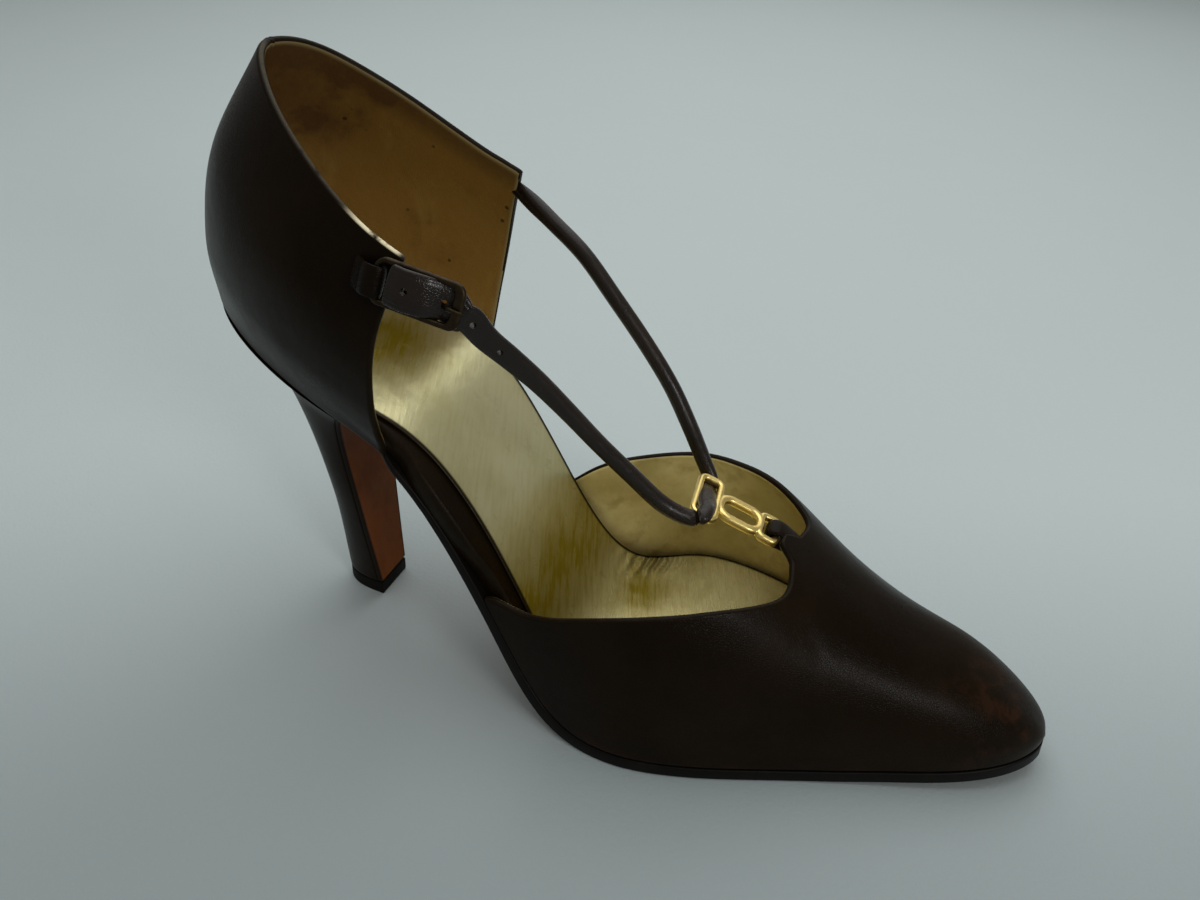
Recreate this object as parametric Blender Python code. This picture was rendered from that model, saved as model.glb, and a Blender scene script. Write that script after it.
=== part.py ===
"""High heel shoe, open at the waist on both sides, as separate closed solids.

Sizes are in millimetres. X runs from heel to toe, Y towards the inner side of the foot, Z up.
The finished solids are in metres, with the origin on the floor under the middle of the shoe.
"""

import math
from collections import namedtuple

import bpy
import numpy as np
from mathutils import Matrix, Vector

MM = 0.001

# Sizes of the last and of the materials
LENGTH = 219.0
CLEARANCE = 0.3
UPPER_WALL = 1.8
INSOLE_THICK = 4.5
SOLE_THICK_FRONT = 3.4
SOLE_THICK_WAIST = 2.2
SOLE_MARGIN = 0.15
SOLE_BACK_X = 49.3
TOP_PIECE_THICK = 4.0
BREAST_THICK = 1.2
TOE_ROUND = 48.5
TOE_POWER = 1.93
SEAT_ROUND = 58.5
SEAT_POWER = 2.12
SWING_TAN = 0.058
SWING_START = 51.0
SWING_BLEND = 35.0

# Vamp
VAMP_BACK_X = 84.2
THROAT_X = 151.6
ARCH_POWER = 2.55
TOE_CAP_ROUND = 28.5
TOE_CAP_POWER = 2.1
TOE_LEAN = 1.8
INNER_FULLNESS = 1.5
FULLNESS_X = 144.0
FULLNESS_REACH = 16.0

# Quarter
QUARTER_RISE_BACK = 60.4
QUARTER_RISE_FRONT = 51.9
QUARTER_RISE_SAG = 1.0
QUARTER_BACK_DIP = 0.9
TOP_POWER = 1.78

# How far the quarter's topline dips, around from the back (0) to a front edge (1)
Dip = namedtuple("Dip", "around drop")
TOP_DIP = (
    Dip(0.0, 0.2),
    Dip(0.3, 0.35),
    Dip(0.5, 1.05),
    Dip(0.6, 1.6),
    Dip(0.7, 2.25),
    Dip(0.8, 2.7),
    Dip(0.86, 2.75),
    Dip(0.9, 2.45),
    Dip(0.95, 1.65),
    Dip(1.0, 0.0),
)

# Heel
HEEL_POWER = 2.1

# Bottom of the last along the middle: distance from the heel, height, slope
Bottom = namedtuple("Bottom", "x z slope")
BOTTOM = (
    Bottom(0.0, 91.7, -0.36),
    Bottom(30.0, 80.0, -0.405),
    Bottom(45.0, 74.3, -0.37),
    Bottom(55.0, 69.8, -0.58),
    Bottom(65.0, 61.8, -1.04),
    Bottom(75.0, 49.0, -1.5),
    Bottom(85.0, 32.4, -1.74),
    Bottom(95.0, 15.9, -1.4),
    Bottom(105.0, 6.2, -0.55),
    Bottom(118.0, 3.4, 0.0),
    Bottom(160.0, 3.4, 0.0),
    Bottom(190.0, 5.0, 0.085),
    Bottom(LENGTH, 8.2, 0.12),
)

# Feather outline: half widths from the centre line, outer and inner side
Outline = namedtuple("Outline", "x outer inner")
OUTLINE = (
    Outline(-5.0, 27.6, 27.6),
    Outline(45.0, 27.6, 27.6),
    Outline(85.2, 30.7, 20.8),
    Outline(125.5, 40.0, 38.1),
    Outline(182.0, 24.3, 22.9),
    Outline(LENGTH, 22.7, 22.5),
)

# Top of the foot along the middle of the vamp
Ridge = namedtuple("Ridge", "x z")
RIDGE = (
    Ridge(74.0, 104.5),
    Ridge(THROAT_X, 48.3),
    Ridge(176.5, 34.4),
    Ridge(201.5, 25.6),
    Ridge(211.0, 21.9),
    Ridge(221.0, 17.9),
)

# Topline of the vamp: how far up the side, and the share of the way from back to throat
Topline = namedtuple("Topline", "rise outer inner")
TOPLINE = (
    Topline(0.0, 0.0, 0.0),
    Topline(0.25, 0.36, 0.24),
    Topline(0.5, 0.77, 0.72),
    Topline(0.75, 1.01, 0.99),
    Topline(1.0, 1.0, 1.0),
)

# Quarter at four levels from the seat to the topline
Level = namedtuple("Level", "share back_x front_x half_width")
QUARTER = (
    Level(0.0, 0.0, SEAT_ROUND, 27.6),
    Level(0.3, 0.0, 59.7, 32.5),
    Level(0.65, 6.4, 62.9, 33.8),
    Level(1.0, 20.6, 68.6, 28.4),
)

# Heel from the seat to the tip
HEEL = (
    Level(0.0, 0.6, 48.4, 26.8),
    Level(0.07, 4.8, 43.2, 20.3),
    Level(0.25, 14.6, 33.8, 11.6),
    Level(0.6, 23.3, 35.4, 9.2),
    Level(1.0, 25.6, 38.0, 6.4),
)

# Insole inset from the feather outline: inside the upper, bare at the waist
Inset = namedtuple("Inset", "x inset")
INSOLE_INSET = (
    Inset(-10.0, 2.5),
    Inset(59.5, 2.5),
    Inset(66.0, 0.5),
    Inset(76.0, 0.5),
    Inset(82.5, 2.5),
    Inset(190.0, 2.7),
    Inset(LENGTH, 3.6),
)

# Strap: place, width, thickness, squareness, and the direction of its width
Strap = namedtuple("Strap", "x y z wide thick square wx wy wz")
STRAP = (
    Strap(67.35, 28.75, 114.5, 4.6, 1.8, 2.6, 0.4, 0.1, 0.9),
    Strap(71.4, 27.9, 112.2, 4.3, 3.4, 2.2, 0.4, 0.1, 0.9),
    Strap(77.4, 26.4, 108.8, 4.1, 4.1, 2.0, 0.4, 0.1, 0.9),
    Strap(86.6, 24.2, 103.1, 4.1, 4.1, 2.0, 0.4, 0.1, 0.9),
    Strap(95.8, 22.0, 94.5, 4.1, 4.1, 2.0, 0.5, 0.1, 0.8),
    Strap(105.2, 20.0, 85.0, 4.1, 4.1, 2.0, 0.6, 0.1, 0.8),
    Strap(113.1, 18.0, 76.1, 4.1, 4.1, 2.0, 0.7, 0.1, 0.7),
    Strap(119.1, 16.4, 67.1, 4.1, 4.1, 2.0, 0.8, 0.1, 0.6),
    Strap(123.6, 15.6, 58.9, 4.0, 3.6, 2.0, 0.9, 0.1, 0.4),
    Strap(126.2, 14.4, 54.7, 4.0, 2.8, 2.0, 1.0, 0.1, 0.1),
    Strap(126.7, 12.0, 53.5, 4.0, 2.4, 2.2, 0.92, 0.12, -0.37),
    Strap(127.5, 8.2, 54.3, 3.9, 2.4, 2.2, 0.92, 0.12, -0.37),
    Strap(128.5, 4.5, 55.6, 3.9, 2.4, 2.2, 0.92, 0.12, -0.37),
    Strap(129.5, 0.8, 56.9, 3.9, 2.4, 2.2, 0.92, 0.12, -0.37),
    Strap(130.4, -3.0, 57.9, 3.9, 2.4, 2.2, 0.9, 0.2, -0.3),
    Strap(129.9, -5.6, 57.6, 4.0, 2.8, 2.2, 0.85, 0.4, 0.0),
    Strap(126.5, -6.8, 57.3, 4.1, 3.6, 2.0, 0.6, 0.4, 0.5),
    Strap(120.5, -8.2, 60.5, 4.1, 4.1, 2.0, 0.6, 0.3, 0.7),
    Strap(113.6, -10.8, 68.2, 4.1, 4.1, 2.0, 0.6, 0.2, 0.7),
    Strap(106.7, -13.8, 76.5, 4.1, 4.1, 2.0, 0.6, 0.2, 0.7),
    Strap(100.6, -17.0, 85.0, 4.3, 4.1, 2.0, 0.6, 0.2, 0.7),
    Strap(94.7, -20.4, 93.2, 4.7, 3.4, 2.3, 0.65, 0.3, 0.65),
    Strap(89.9, -24.0, 99.8, 5.3, 2.4, 2.8, 0.72, 0.32, 0.6),
    Strap(86.1, -27.4, 105.3, 5.8, 2.0, 3.2, 0.75, 0.3, 0.58),
    Strap(83.9, -29.8, 110.0, 6.4, 1.8, 3.2, 0.65, 0.3, 0.68),
    Strap(82.3, -31.2, 111.5, 6.9, 1.8, 3.2, 0.57, 0.32, 0.76),
    Strap(80.1, -31.9, 113.0, 7.4, 1.8, 3.2, 0.33, 0.34, 0.88),
    Strap(78.0, -33.3, 114.2, 7.5, 1.8, 3.2, 0.14, 0.34, 0.93),
    Strap(75.5, -34.6, 115.3, 7.5, 1.8, 3.2, 0.14, 0.34, 0.93),
    Strap(72.1, -35.2, 116.7, 7.5, 1.8, 3.2, 0.14, 0.34, 0.93),
    Strap(69.0, -34.8, 117.9, 7.4, 1.8, 3.2, 0.26, 0.34, 0.90),
)
STRAP_SIDES = 12
STRAP_STEPS = 2

# Link between the vamp and the strap, in its own plane
LINK_PLACE = (128.5, 4.5, 55.6)
LINK_ALONG = (0.92, 0.12, -0.37)
LINK_ACROSS = (-0.13, 0.99, 0.0)
LINK_SLOT = (7.4, 16.6)
LINK_SLOT_HOLE = (4.7, 13.8)
LINK_NECK = (15.6, 9.2)
LINK_NECK_HOLE = (8.0, 5.4)
LINK_HORN = (19.8, 9.8)
LINK_HORN_HOLE = (2.6, 6.8)
LINK_THICK = 1.7

# Buckle frame on the outer front corner of the quarter
BUCKLE_PLACE = (73.8, -33.3, 114.95)
BUCKLE_ALONG = (0.986, 0.036, -0.166)
BUCKLE_UP = (0.0, 0.33, 0.94)
BUCKLE_SIZE = (20.2, 11.2)
BUCKLE_BAR = 1.3
BUCKLE_FRONT_BAR = 2.4
BUCKLE_HINGE = -3.6
BUCKLE_THICK = 1.5

# Prong in the plane of the frame: along the strap, and out from the frame
Prong = namedtuple("Prong", "along out")
PRONG = (
    Prong(-2.3, 0.0),
    Prong(0.4, -0.75),
    Prong(3.0, -1.45),
    Prong(4.6, -1.35),
    Prong(6.1, -0.05),
    Prong(7.5, 1.25),
    Prong(9.0, 1.65),
    Prong(10.3, 1.4),
)
PRONG_HOLE = (Prong(4.1, -1.9), Prong(7.1, 1.1))
PRONG_RADIUS = 0.55
PRONG_HOLE_RADIUS = 1.2

# Leather loop that holds the back bar of the buckle: along the strap, and out from the frame
LOOP = (
    Prong(-15.4, -2.85),
    Prong(-13.4, -0.95),
    Prong(-11.8, 0.8),
    Prong(-10.2, 1.5),
    Prong(-8.7, 1.35),
    Prong(-7.85, 0.4),
    Prong(-7.9, -0.7),
    Prong(-8.7, -1.4),
)
LOOP_WIDE = 6.6
LOOP_THICK = 0.9

# Leather tab folded round the front bar of the link: along the link, and up from its plane
TAB = (
    Prong(27.5, -1.65),
    Prong(24.5, -1.6),
    Prong(21.4, -1.8),
    Prong(18.9, -1.95),
    Prong(17.35, -1.3),
    Prong(16.9, 0.0),
    Prong(17.35, 1.35),
    Prong(18.8, 2.0),
    Prong(20.4, 2.05),
    Prong(22.0, 2.1),
)
TAB_WIDE = 5.4
TAB_THICK = 1.1

# Finish of each solid: colour, roughness, metallic
Finish = namedtuple("Finish", "colour rough metal")
BROWN_LEATHER = Finish((0.040, 0.027, 0.021), 0.42, 0.0)
SOLE_LEATHER = Finish((0.030, 0.022, 0.018), 0.55, 0.0)
RUSSET_LEATHER = Finish((0.16, 0.065, 0.035), 0.5, 0.0)
GOLD_LEATHER = Finish((0.50, 0.40, 0.18), 0.38, 0.5)
BRASS = Finish((0.75, 0.58, 0.26), 0.25, 1.0)
DARK_BRASS = Finish((0.13, 0.10, 0.065), 0.4, 1.0)
BLACK_RUBBER = Finish((0.015, 0.014, 0.014), 0.6, 0.0)


def hermite(x, xs, ys, slopes):
    """Value at x of the curve through xs, ys with the given slopes."""
    xs, ys, slopes = (np.asarray(row, float) for row in (xs, ys, slopes))
    x = np.asarray(x, float)
    i = np.clip(np.searchsorted(xs, x) - 1, 0, len(xs) - 2)
    step = xs[i + 1] - xs[i]
    t = (x - xs[i]) / step
    return (
        (2 * t**3 - 3 * t**2 + 1) * ys[i]
        + (t**3 - 2 * t**2 + t) * step * slopes[i]
        + (3 * t**2 - 2 * t**3) * ys[i + 1]
        + (t**3 - t**2) * step * slopes[i + 1]
    )


def smooth(x, xs, ys):
    """Value at x of the smooth curve through xs, ys."""
    xs, ys = np.asarray(xs, float), np.asarray(ys, float)
    slopes = np.empty_like(ys)
    slopes[1:-1] = (ys[2:] - ys[:-2]) / (xs[2:] - xs[:-2])
    slopes[0] = (ys[1] - ys[0]) / (xs[1] - xs[0])
    slopes[-1] = (ys[-1] - ys[-2]) / (xs[-1] - xs[-2])
    return hermite(x, xs, ys, slopes)


def column(table, name):
    """One named column of a table."""
    return [getattr(row, name) for row in table]


def rounded(share, power):
    """Height of a unit superellipse at a share of the way in from its end."""
    inside = np.clip(1 - np.abs(1 - np.clip(share, 0, 1)) ** power, 0, 1)
    return inside ** (1 / power)


def bottom_z(x):
    """Height of the bottom of the last."""
    x = np.clip(x, 0, LENGTH)
    return hermite(x, column(BOTTOM, "x"), column(BOTTOM, "z"), column(BOTTOM, "slope"))


def bottom_slope(x):
    """Slope of the bottom of the last."""
    x = np.asarray(x, float)
    return bottom_z(x + 0.5) - bottom_z(x - 0.5)


def upper_base_z(x):
    """Height of the lower edge of the upper, clear of the sole."""
    return bottom_z(x) + CLEARANCE * np.sqrt(1 + bottom_slope(x) ** 2)


def bottom_down(x):
    """Unit direction out of the bottom of the last, as X and Z."""
    slope = bottom_slope(x)
    size = np.sqrt(1 + slope**2)
    return slope / size, -1 / size


def centre_y(x):
    """Centre line of the sole, which swings inward past the waist."""
    past = np.clip(np.asarray(x, float) - SWING_START, 0, None)
    eased = np.where(past < SWING_BLEND, past**2 / (2 * SWING_BLEND), past - SWING_BLEND / 2)
    pull = np.clip((np.asarray(x, float) - 125.5) / (LENGTH - 125.5), 0, 1) ** 2
    return SWING_TAN * eased - 1.5 * pull


def edge_y(x, side):
    """Feather outline on the outer side (-1) or the inner side (1)."""
    x = np.asarray(x, float)
    half = smooth(x, column(OUTLINE, "x"), column(OUTLINE, "outer" if side < 0 else "inner"))
    half = half * rounded(x / SEAT_ROUND, SEAT_POWER)
    half = half * rounded((LENGTH - x) / TOE_ROUND, TOE_POWER)
    return centre_y(x) + side * half


def outline(side, start, end, count, inset):
    """Points X, Y along one side of the feather outline, moved inward by inset(x)."""
    turn = np.linspace(0, 1, count)
    first = np.arccos(np.clip(1 - 2 * start / LENGTH, -1, 1)) / math.pi
    last = np.arccos(np.clip(1 - 2 * end / LENGTH, -1, 1)) / math.pi
    x = LENGTH * (1 - np.cos(math.pi * (first + (last - first) * turn))) / 2
    eps = 0.002
    lo, hi = np.clip(x - eps, 0, LENGTH), np.clip(x + eps, 0, LENGTH)
    dx, dy = hi - lo, edge_y(hi, side) - edge_y(lo, side)
    size = np.hypot(dx, dy)
    move = inset(x)
    return x + side * move * dy / size, edge_y(x, side) - side * move * dx / size


def ribbon(left, right, lift_top, lift_bottom):
    """Vertices and faces of a plate between two outlines, offset along the bottom's direction."""
    rings = []
    for (lx, ly), (rx, ry) in zip(np.transpose(left), np.transpose(right)):
        ring = []
        for x, y, lift in (
            (lx, ly, lift_top(lx)),
            (rx, ry, lift_top(rx)),
            (rx, ry, lift_bottom(rx)),
            (lx, ly, lift_bottom(lx)),
        ):
            nx, nz = bottom_down(x)
            ring.append((x - nx * lift, y, bottom_z(x) - nz * lift))
        rings.append(ring)
    return tube(rings)


def tube(rings):
    """Vertices and faces of a closed body through rings of points, capped at both ends."""
    count = len(rings[0])
    verts = [point for ring in rings for point in ring]
    faces = []
    for i in range(len(rings) - 1):
        for j in range(count):
            k = (j + 1) % count
            faces.append((i * count + j, i * count + k, (i + 1) * count + k, (i + 1) * count + j))
    faces.append(tuple(reversed(range(count))))
    faces.append(tuple((len(rings) - 1) * count + j for j in range(count)))
    return verts, faces


def material(name, finish):
    """Principled material with the finish's colour, roughness and metallic."""
    made = bpy.data.materials.get(name)
    if made is None:
        made = bpy.data.materials.new(name)
        made.use_nodes = True
        shader = made.node_tree.nodes["Principled BSDF"]
        shader.inputs["Base Color"].default_value = (*finish.colour, 1.0)
        shader.inputs["Roughness"].default_value = finish.rough
        shader.inputs["Metallic"].default_value = finish.metal
    return made


def add_mesh(name, verts, faces, finish_name, finish, flat=False):
    """New mesh object in metres with outward faces."""
    mesh = bpy.data.meshes.new(name)
    mesh.from_pydata([tuple(MM * float(c) for c in point) for point in verts], [], faces)
    mesh.update()
    made = bpy.data.objects.new(name, mesh)
    bpy.context.collection.objects.link(made)
    mesh.materials.append(material(finish_name, finish))
    bpy.ops.object.select_all(action="DESELECT")
    made.select_set(True)
    bpy.context.view_layer.objects.active = made
    bpy.ops.object.mode_set(mode="EDIT")
    bpy.ops.mesh.select_all(action="SELECT")
    bpy.ops.mesh.normals_make_consistent(inside=False)
    bpy.ops.object.mode_set(mode="OBJECT")
    if not flat:
        bpy.ops.object.shade_smooth_by_angle(angle=math.radians(40))
    return made


def thicken(made, wall):
    """Wall of the upper, grown inward from its outer surface."""
    solid = made.modifiers.new("wall", "SOLIDIFY")
    solid.thickness = wall * MM
    solid.offset = -1.0
    solid.use_even_offset = True


def surface(name, grid, finish_name, finish, pole=False):
    """Open sheet through a grid of points; with pole, the last column is one shared point."""
    rows, cols = grid.shape[:2]
    verts = [tuple(p) for p in grid[:, : cols - 1 if pole else cols].reshape(-1, 3)]
    wide = cols - 1 if pole else cols
    faces = []
    for i in range(rows - 1):
        for j in range(wide - 1):
            a, b = i * wide + j, (i + 1) * wide + j
            faces.append((a, a + 1, b + 1, b))
    if pole:
        verts.append(tuple(grid[0, -1]))
        tip = len(verts) - 1
        for i in range(rows - 1):
            faces.append((i * wide + wide - 1, tip, (i + 1) * wide + wide - 1))
    return add_mesh(name, verts, faces, finish_name, finish)


def vamp_point(x, around):
    """Point of the vamp at a section x, around from the outer (0) to the inner side (1)."""
    base = upper_base_z(x)
    near = np.stack([x, edge_y(x, -1), base], -1)
    far = np.stack([x, edge_y(x, 1), base], -1)
    closing = rounded((LENGTH - x) / TOE_CAP_ROUND, TOE_CAP_POWER)
    lean = TOE_LEAN * np.clip((x - THROAT_X) / (LENGTH - THROAT_X), 0, 1) ** 2
    rise = smooth(np.minimum(x, LENGTH), column(RIDGE, "x"), column(RIDGE, "z")) - base
    up = np.stack([lean * closing, 0 * x, rise * closing], -1)
    turn = math.pi * (1 - around)
    across = np.sign(np.cos(turn)) * np.abs(np.cos(turn)) ** (2 / ARCH_POWER)
    height = np.abs(np.sin(turn)) ** (2 / ARCH_POWER)
    point = (near + far) / 2 + (far - near) / 2 * across[..., None] + up * height[..., None]
    full = np.clip(np.sin(2 * math.pi * (around - 0.5)), 0, 1) ** 2
    full = INNER_FULLNESS * full * np.exp(-(((x - FULLNESS_X) / FULLNESS_REACH) ** 2))
    return point + np.stack([0 * x, 0.5 * full, full], -1)


def vamp_topline_x(around):
    """Where the vamp starts, for a place around the section."""
    rise = 2 * np.minimum(around, 1 - around)
    side = [smooth(rise, column(TOPLINE, "rise"), column(TOPLINE, name)) for name in ("outer", "inner")]
    return VAMP_BACK_X + (THROAT_X - VAMP_BACK_X) * np.where(around <= 0.5, *side)


def make_vamp():
    """Hollow closed toe, open at the throat and underneath."""
    turn = np.linspace(0, 1, 35)
    around = 0.5 - 0.5 * np.cos(math.pi * turn) * (1 - 0.35 * np.sin(math.pi * turn) ** 2)
    along = np.sin(np.linspace(0, 1, 26) * math.pi / 2)
    around, along = np.meshgrid(around, along, indexing="ij")
    start = vamp_topline_x(around)
    points = vamp_point(start + (LENGTH - start) * along, around)
    thicken(surface("vamp", points, "brown_leather", BROWN_LEATHER, pole=True), UPPER_WALL)


def quarter_point(around, share):
    """Point of the quarter, around from the outer (-1) to the inner (1) front edge."""
    shares = column(QUARTER, "share")
    back, front, half = (smooth(share, shares, column(QUARTER, c)) for c in Level._fields[1:])
    power = SEAT_POWER + (TOP_POWER - SEAT_POWER) * share
    angle = np.abs(around) * math.pi / 2
    bend = 1 - np.cos(angle) ** (2 / power)
    rise = QUARTER_RISE_FRONT - QUARTER_RISE_BACK
    rise = QUARTER_RISE_BACK + rise * (bend + QUARTER_RISE_SAG * bend * (1 - bend))
    rise = rise - QUARTER_BACK_DIP * np.exp(-((around / 0.2) ** 2))
    rise = rise - smooth(np.abs(around), column(TOP_DIP, "around"), column(TOP_DIP, "drop"))
    seat = SEAT_ROUND * (1 - np.cos(angle) ** (2 / SEAT_POWER))
    x = back + (front - back) * bend
    y = np.sign(around) * half * np.sin(angle) ** (2 / power)
    return np.stack([x, y, upper_base_z(seat) + share * rise], -1)


def make_quarter():
    """Hollow heel cup, open at the collar and underneath."""
    turn = np.linspace(-1, 1, 41)
    around = np.sign(turn) * np.abs(turn) ** 1.15
    around, share = np.meshgrid(around, np.linspace(0, 1, 14), indexing="ij")
    thicken(surface("quarter", quarter_point(around, share), "brown_leather", BROWN_LEATHER), UPPER_WALL)


def make_insole():
    """Board inside the upper, bare at the waist."""
    def inset(x):
        return smooth(x, column(INSOLE_INSET, "x"), column(INSOLE_INSET, "inset"))

    sides = [outline(side, 0.25, LENGTH - 0.12, 58, inset) for side in (-1, 1)]
    verts, faces = ribbon(*sides, lambda x: CLEARANCE + INSOLE_THICK, lambda x: CLEARANCE)
    add_mesh("insole", verts, faces, "gold_leather", GOLD_LEATHER)


def make_outsole():
    """Thin sole from the heel breast to the toe, flat under the ball of the foot."""
    def inset(x):
        return -SOLE_MARGIN * np.clip((x - 70) / 40, 0, 1)

    def thick(x):
        return SOLE_THICK_WAIST + (SOLE_THICK_FRONT - SOLE_THICK_WAIST) * np.clip((x - 70) / 34, 0, 1)

    sides = [outline(side, SOLE_BACK_X, LENGTH - 0.02, 50, inset) for side in (-1, 1)]
    verts, faces = ribbon(*sides, lambda x: 0.0, lambda x: -thick(x))
    add_mesh("outsole", verts, faces, "sole_leather", SOLE_LEATHER)


def heel_ring(share, low, sides=22, grow=0.0):
    """D-shaped section of the heel: round back, flat breast."""
    shares = column(HEEL, "share")
    back, front, half = (float(smooth(share, shares, column(HEEL, c))) for c in Level._fields[1:])
    ring = []
    for around in np.linspace(-1, 1, sides):
        angle = abs(around) * math.pi / 2
        x = back + (front - back) * (1 - math.cos(angle) ** (2 / HEEL_POWER))
        y = math.copysign(half * math.sin(angle) ** (2 / HEEL_POWER), around)
        top = float(bottom_z(x)) - grow
        ring.append((x, y, top + (low - top) * share))
    return ring


def make_heel():
    """Covered heel block, its breast flap and its top piece."""
    low = TOP_PIECE_THICK + CLEARANCE
    shares = np.concatenate([np.linspace(0, 0.25, 7)[:-1], np.linspace(0.25, 1, 9)])
    verts, faces = tube([heel_ring(share, low) for share in shares])
    add_mesh("heel_block", verts, faces, "brown_leather", BROWN_LEATHER)

    base = heel_ring(1.0, low)
    rings = [[(x, y, z) for x, y, _ in base] for z in (TOP_PIECE_THICK, 0.0)]
    verts, faces = tube(rings)
    add_mesh("heel_top_piece", verts, faces, "black_rubber", BLACK_RUBBER)

    rings = []
    for share in np.concatenate([np.linspace(0.018, 0.25, 8)[:-1], np.linspace(0.25, 0.995, 10)]):
        (x, near, z), (_, far, _) = (heel_ring(share, low)[i] for i in (0, -1))
        (x_up, _, z_up), (x_down, _, z_down) = (heel_ring(share + d, low)[0] for d in (-0.005, 0.005))
        lean = math.hypot(x_up - x_down, z_up - z_down) / (z_up - z_down)
        inner, outer = x + CLEARANCE * lean, x + CLEARANCE * lean + BREAST_THICK
        trim = 0.35
        rings.append([
            (inner, near + trim, z),
            (inner, far - trim, z),
            (outer, far - trim, z),
            (outer, near + trim, z),
        ])
    verts, faces = tube(rings)
    add_mesh("heel_breast", verts, faces, "russet_leather", RUSSET_LEATHER)


def unit(vector):
    """Vector of length one."""
    return Vector(vector).normalized()


def swept(points, wides, thicks, squares, widths, sides):
    """Rings of a band along a path, with its width along the given directions."""
    rings = []
    for i, here in enumerate(points):
        before, after = points[max(i - 1, 0)], points[min(i + 1, len(points) - 1)]
        along = (after - before).normalized()
        across = (widths[i] - along * widths[i].dot(along)).normalized()
        out = along.cross(across)
        ring = []
        for k in range(sides):
            angle = 2 * math.pi * k / sides
            c, s = math.cos(angle), math.sin(angle)
            power = 2 / squares[i]
            wide = math.copysign(abs(c) ** power, c) * wides[i] / 2
            deep = math.copysign(abs(s) ** power, s) * thicks[i] / 2
            ring.append(tuple(here + across * wide + out * deep))
        rings.append(ring)
    return rings


def frame_axes(along, other):
    """Unit directions along, across and out of a plane."""
    first = unit(along)
    second = Vector(other)
    second = (second - first * second.dot(first)).normalized()
    return first, second, first.cross(second)


def buckle_axes():
    """Along the strap, up the quarter, and out from the foot."""
    along, up, out = frame_axes(BUCKLE_ALONG, BUCKLE_UP)
    return along, up, -out if out.y > 0 else out


def make_strap():
    """Round cord from the inner quarter through the link, flat from there to its tail."""
    place = np.arange(len(STRAP))
    fine = np.linspace(0, len(STRAP) - 1, (len(STRAP) - 1) * STRAP_STEPS + 1)
    cols = {name: smooth(fine, place, column(STRAP, name)) for name in Strap._fields}
    points = [Vector(p) for p in zip(cols["x"], cols["y"], cols["z"])]
    widths = [unit(w) for w in zip(cols["wx"], cols["wy"], cols["wz"])]
    rings = swept(points, cols["wide"], cols["thick"], cols["square"], widths, STRAP_SIDES)
    verts, faces = tube(rings)
    made = add_mesh("strap", verts, faces, "brown_leather", BROWN_LEATHER)

    along, up, out = buckle_axes()
    start, end = (Vector(BUCKLE_PLACE) + along * p.along + out * p.out for p in PRONG_HOLE)
    depth = (end - start).length * MM
    bpy.ops.mesh.primitive_cylinder_add(vertices=12, radius=PRONG_HOLE_RADIUS * MM, depth=depth)
    cutter = bpy.context.object
    cutter.name = "prong_hole_cutter"
    turn = (end - start).to_track_quat("Z", "Y").to_matrix().to_4x4()
    cutter.matrix_world = Matrix.Translation((start + end) / 2 * MM) @ turn
    cutter.hide_render = True
    cutter.display_type = "WIRE"
    cut = made.modifiers.new("prong_hole", "BOOLEAN")
    cut.operation = "DIFFERENCE"
    cut.solver = "EXACT"
    cut.object = cutter


def plate(name, loops, thick, place, axes, finish_name, finish):
    """Flat metal plate with round edges from closed loops: the outside first, then the holes."""
    curve = bpy.data.curves.new(name, "CURVE")
    curve.dimensions = "2D"
    curve.fill_mode = "BOTH"
    curve.bevel_depth = 0.32 * MM
    curve.bevel_resolution = 0
    curve.offset = -0.32 * MM
    curve.extrude = (thick / 2 - 0.32) * MM
    for loop in loops:
        line = curve.splines.new("POLY")
        line.points.add(len(loop) - 1)
        for point, (u, v) in zip(line.points, loop):
            point.co = (u * MM, v * MM, 0, 1)
        line.use_cyclic_u = True
    made = bpy.data.objects.new(name, curve)
    bpy.context.collection.objects.link(made)
    curve.materials.append(material(finish_name, finish))
    first, second, third = axes
    made.matrix_world = Matrix.Translation(Vector(place) * MM) @ Matrix((
        (first.x, second.x, third.x, 0),
        (first.y, second.y, third.y, 0),
        (first.z, second.z, third.z, 0),
        (0, 0, 0, 1),
    ))
    return made


def box_loop(u0, u1, v0, v1, radius, steps=4):
    """Rounded rectangle as a loop of points."""
    loop = []
    for cu, cv, start in (
        (u1 - radius, v1 - radius, 0),
        (u0 + radius, v1 - radius, 90),
        (u0 + radius, v0 + radius, 180),
        (u1 - radius, v0 + radius, 270),
    ):
        for k in range(steps + 1):
            angle = math.radians(start + 90 * k / steps)
            loop.append((cu + radius * math.cos(angle), cv + radius * math.sin(angle)))
    return loop


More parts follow.
